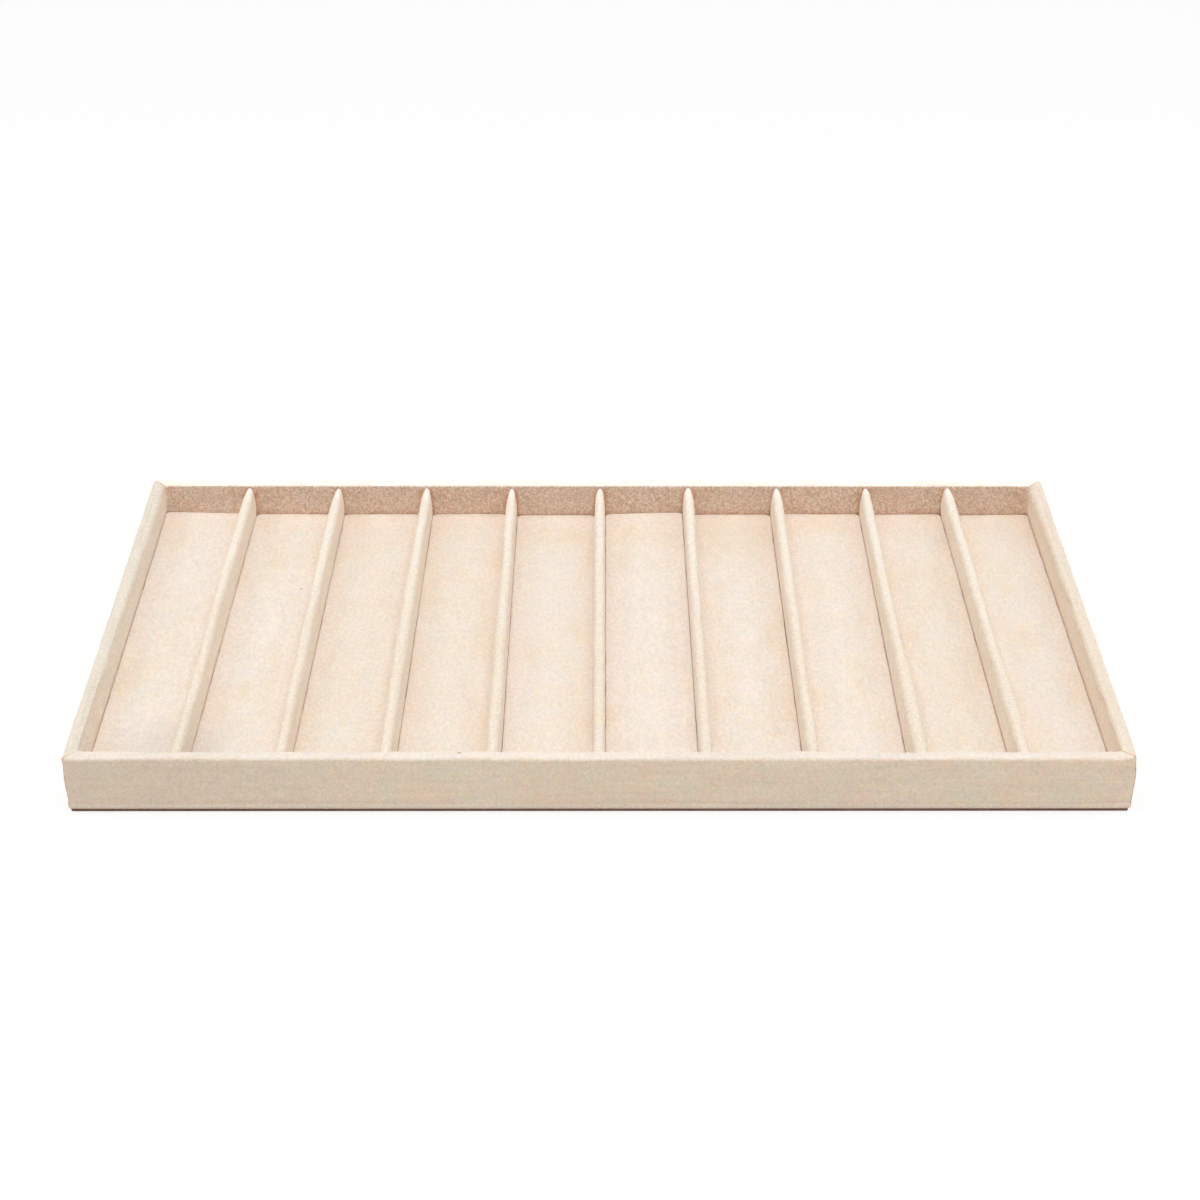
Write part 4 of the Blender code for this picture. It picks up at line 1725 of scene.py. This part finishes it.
@dataclass
class NecklaceTray:
    """The whole insert: four walls, nine dividers, ten floor panels and the underside."""

    channels: int = 10
    panel_clearance: float = 0.3 * MM
    front_shift_shares: Sequence[float] = (-0.04, -0.05, -0.04, -0.02, -0.01, 0.01, 0.02, 0.03, 0.02)
    back_shift_shares: Sequence[float] = (0.03, 0.04, 0.05, 0.02, 0.03, 0.03, 0.04, 0.06, 0.0)
    finishes: dict[str, Material] = field(default_factory=dict)

    @property
    def spacing(self) -> float:
        """Even spacing of the dividers."""
        divider = 2 * HALF_DIVIDER
        return (INNER_LENGTH - (self.channels - 1) * divider) / self.channels + divider

    def build(self) -> None:
        """Build every sub-assembly of the tray."""
        self._make_finishes()
        self._dress_boards()
        self._build_walls()
        self._build_dividers()
        self._build_floor()
        BottomFelt(BROWN_FELT.material()).build()

    def _make_finishes(self) -> None:
        """Make each microsuede once."""
        suede = {
            "front_wall": Microsuede(
                "brushed_microsuede_front_wall", "e4d2bd", "e6ceb8", "e0d5c0", "e5dbd1",
                streak_mm=(24.0, 6.0, 1.6), streak_depth=0.04, dye_depth=0.06,
                turned=(Speck((-188.0, -105.0, 12.0), 125.0, "dbcab6"),),
                specks=(
                    Speck((-49.4, -101.0, 23.0), 1.0, "b5a08f"),
                    Speck((-113.7, -105.0, 10.0), 1.6, "d6c6b4"),
                ),
            ),
            # Its ground, darker and pinker than the front wall's, is partly the fabric's own tone and
            # partly painted shade for the inner face, and its near-white highlight tone is painted light on
            # the rim
            "back_wall": Microsuede(
                "ruffled_microsuede_back_wall", "e1c8b6", "dfc2ad", "e0cbbb", "fcf9f1",
                streak_mm=(9.0, 6.0, 5.0), grain_mm=0.85, grain_depth=0.32, edge_grain=0.2,
                grain_tint=(0.78, 1.05, 1.25), streak_depth=0.04, nap_mm=0.4, calm_beyond_mm=102.0,
                dye_mm=1.6, dye_depth=0.08, dye_tint=(1.0, 0.8, 1.3),
            ),
            # The side walls' greyer highlight tones paint the dimmer light on their rims
            "left_wall": Microsuede(
                "brushed_microsuede_left_wall", "e1d5c5", "e2d1bd", "dfd6c8", "dcd3c5",
                streak_mm=(6.0, 24.0, 1.6), grain_mm=1.0, grain_depth=0.12, dye_depth=0.07,
                ruffle_depth=0.13,
            ),
            "right_wall": Microsuede(
                "brushed_microsuede_right_wall", "e3d0bb", "e5ccb4", "e1d2c0", "e2d5c5",
                streak_mm=(6.0, 24.0, 1.6), grain_mm=1.0, grain_depth=0.11, dye_depth=0.07,
                ruffle_depth=0.1,
            ),
            "divider": Microsuede(
                "brushed_microsuede_dividers", "e4d6c4", "e6d3bf", "e2d7c7", "f7f3ea",
                streak_mm=(2.0, 26.0, 6.0), grain_mm=1.1, grain_depth=0.12, dye_depth=0.06,
                ruffle_depth=0.1,
                turned=(
                    Speck((-150.5, -95.0, 22.0), 45.0, "ddd0be"),
                    Speck((113.5, -95.0, 22.0), 40.0, "e1d4c1"),
                ),
            ),
            "floor": Microsuede(
                "brushed_microsuede_floor", "ebe1d8", "e9dac6", "e9e1d6", "efe6da",
                streak_mm=(7.0, 18.0, 9.0), cloud_mm=20.0, blotch_depth=0.008, streak_depth=0.014,
                grain_mm=1.15, grain_depth=0.075, drawn_out=(1.0, 1.7, 1.0),
                turned=(
                    Speck((-152.0, -80.0, 9.4), 32.0, "dfd6cd"),
                    Speck((56.0, 80.0, 9.4), 36.0, "e7dac9"),
                ),
                specks=(
                    Speck((-173.2, 49.3, 9.4), 1.2, "dcc08a"),
                    Speck((-119.2, 36.4, 9.4), 0.9, "b39a8e"),
                ),
            ),
        }
        # Some linings come from a slightly more tan part of the roll
        suede["tan_floor"] = replace(
            suede["floor"], name="brushed_microsuede_tan_floor", ground="e9ddd0"
        )
        self.finishes.update({key: finish.material() for key, finish in suede.items()})

    @staticmethod
    def _dress_boards() -> None:
        """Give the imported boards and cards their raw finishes."""
        fibreboard, greyboard = RAW_MDF.material(), PRESSED_GREYBOARD.material()
        for name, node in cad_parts.items():
            if name.endswith("_wall_board") or name == "base_board":
                slot, finish = Slot.FIBREBOARD, fibreboard
            elif name.startswith(("divider_board", "floor_card")):
                slot, finish = Slot.GREYBOARD, greyboard
            else:
                continue
            node.data.materials.clear()
            node.data.materials.append(finish)
            LOG.info("%s: %s", name, finish.name)

    def _build_walls(self) -> None:
        """Wrap the four frame boards."""
        # Ends of the dividers at the back wall, beside which the wall gets painted shade
        back_ends = [-self._divider_ends(number)[1] for number in range(1, self.channels)]
        walls = (
            WallWrap(
                Side.FRONT, TRAY_LENGTH, self.finishes["front_wall"], Undulation(1.3),
                start_fold=CornerFold(0.1 * MM, -0.5 * MM, 3.0 * MM, nub=0.5 * MM),
                end_fold=CornerFold(0.1 * MM, -0.65 * MM, 3.5 * MM),
            ),
            WallWrap(
                Side.RIGHT, TRAY_DEPTH, self.finishes["right_wall"],
                Undulation(5.9, lump_height=0.08 * MM),
                start_fold=CornerFold(0.1 * MM, -0.65 * MM, 3.5 * MM),
                end_fold=CornerFold(0.25 * MM, -0.4 * MM, 2.5 * MM, 0.4),
                rim_inner_radius=1.3 * MM, edge_wave=0.22 * MM,
                fullness=Course((
                    (-70, 0.1), (-47, 0.35), (-38, 0.2), (-31, 0.4), (-18, 0.1), (-4, 0.25),
                    (5, -0.4), (14, 0.0), (22, 0.9), (29, 0.9), (42, 0.2), (54, 0.55),
                    (64, 0.5), (76, 0.75), (88, 1.1),
                )),
            ),
            WallWrap(
                Side.BACK, TRAY_LENGTH, self.finishes["back_wall"], Undulation(9.2),
                start_fold=CornerFold(0.15 * MM, -0.4 * MM, 2.5 * MM, 0.4),
                end_fold=CornerFold(0.15 * MM, -0.4 * MM, 2.5 * MM, 0.4),
                rim_shade_line=0.55, highlight_wander=0.25, dividers=back_ends,
            ),
            WallWrap(
                Side.LEFT, TRAY_DEPTH, self.finishes["left_wall"],
                Undulation(14.6, lump_height=0.08 * MM),
                start_fold=CornerFold(0.3 * MM, -0.4 * MM, 2.5 * MM, 0.4),
                end_fold=CornerFold(0.1 * MM, -0.5 * MM, 3.0 * MM, nub=0.5 * MM),
                rim_inner_radius=1.3 * MM, edge_wave=0.22 * MM,
                fullness=Course((
                    (-94, 0.3), (-82, 0.85), (-75, 0.6), (-61, 0.85), (-52, 0.75), (-41, 0.1),
                    (-32, 0.2), (-16, 0.1), (-4, 0.35), (3, 0.0), (14, -0.55), (24, -0.4),
                    (33, 0.1), (44, 0.1), (56, -0.45), (70, -0.6), (84, -0.9),
                )),
            ),
        )
        for wall in walls:
            wall.build()

    def _divider_ends(self, number: int) -> tuple[float, float]:
        """Middle of a divider at the front wall and at the back wall.

        Args:
            number: The divider, from 1 at the left.

        Returns:
            Its X at the front and at the back.
        """
        even = (number - self.channels / 2) * self.spacing
        return (
            even + self.front_shift_shares[number - 1] * self.spacing,
            even + self.back_shift_shares[number - 1] * self.spacing,
        )

    def _build_dividers(self) -> None:
        """Fold a cover over each divider board."""
        pills = {5: (Pill(-21 * MM, -1.8 * MM, 0.4 * MM, 1.2 * MM),)}
        places = (-85, -52, -19, 14, 47, 80)
        leans = {
            1: (0.0, 0.5, 0.15, -0.4, 0.1, 0.15), 2: (0.1, 0.05, -0.35, -0.15, 0.0, 0.0),
            3: (-0.5, -0.9, -0.95, -0.6, -0.5, 0.0),
            4: (-0.4, -0.45, -0.45, -0.4, 0.0, 0.0), 5: (-0.09, -0.15, -0.53, -0.2, 0.0, -0.3),
            8: (1.2, 1.3, 0.2, -0.4, -0.25, -0.15), 9: (0.45, 0.75, -0.15, 0.15, -0.2, -0.35),
        }
        for number in range(1, self.channels):
            front, back = self._divider_ends(number)
            lie = Undulation(20 + 3.7 * number, lump=4.0 * MM, lump_height=0.075 * MM)
            lean = Course(tuple(zip(places, leans[number]))) if number in leans else Course()
            cover = DividerCover(number, front, back, self.finishes["divider"], lie, lean)
            cover.pills = pills.get(number, ())
            cover.build()

    def _channel_edge(self, number: int, y: float, hand: int) -> float:
        """Where a channel's side lies: the wall, or the face of a divider.

        Args:
            number: The divider at that side, or 0 and 10 for the walls.
            y: Place along the channel.
            hand: 1 for the divider's right face, -1 for its left face.

        Returns:
            X of the side.
        """
        if number in (0, self.channels):
            return -hand * INNER_LENGTH / 2
        front, back = self._divider_ends(number)
        return (front + back) / 2 + (back - front) * y / INNER_DEPTH + hand * HALF_DIVIDER

    def _build_floor(self) -> None:
        """Fold a lining round the card of each channel."""
        level = (0.0, 0.0, 0.0, 0.0)
        tilts = {
            1: (0.0, 0.0, 0.4, 1.1), 2: (0.0, 0.0, 0.0, 0.1), 5: (0.1, 0.0, -0.35, -0.55),
            6: (0.0, 0.0, 0.9, 0.05), 7: (0.0, 0.1, -0.05, -0.1), 8: (0.0, 0.0, 0.1, 0.1),
            9: (0.0, 0.0, 0.25, -0.05), 10: (0.0, 0.1, -0.1, -0.6),
        }
        gap = self.panel_clearance
        y = INNER_DEPTH / 2 - gap
        for number in range(1, self.channels + 1):
            left = [self._channel_edge(number - 1, place, 1) + gap for place in (-y, y)]
            right = [self._channel_edge(number, place, -1) - gap for place in (-y, y)]
            plan = ((left[0], -y), (right[0], -y), (right[1], y), (left[1], y))
            finish = self.finishes["tan_floor" if number in (3, 4, 9) else "floor"]
            lie = Undulation(60 + 2.3 * number, 30 * MM, 0.10 * MM, 5 * MM, 0.03 * MM)
            tilt = [rise * MM for rise in tilts.get(number, level)]
            lining = FloorLining(number, [Vector(corner) for corner in plan], finish, lie, tilt)
            if number in (1, self.channels):
                lining.spreads = (0.2 * MM,) * 4
            lining.build()


def main() -> None:
    """Build the tray and its studio."""
    logging.basicConfig(level=logging.INFO, format="%(name)s %(message)s")
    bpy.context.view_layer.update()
    NecklaceTray().build()
    Viewpoint().build()
    Studio().build()
    bpy.context.view_layer.update()


if __name__ == "__main__":
    main()
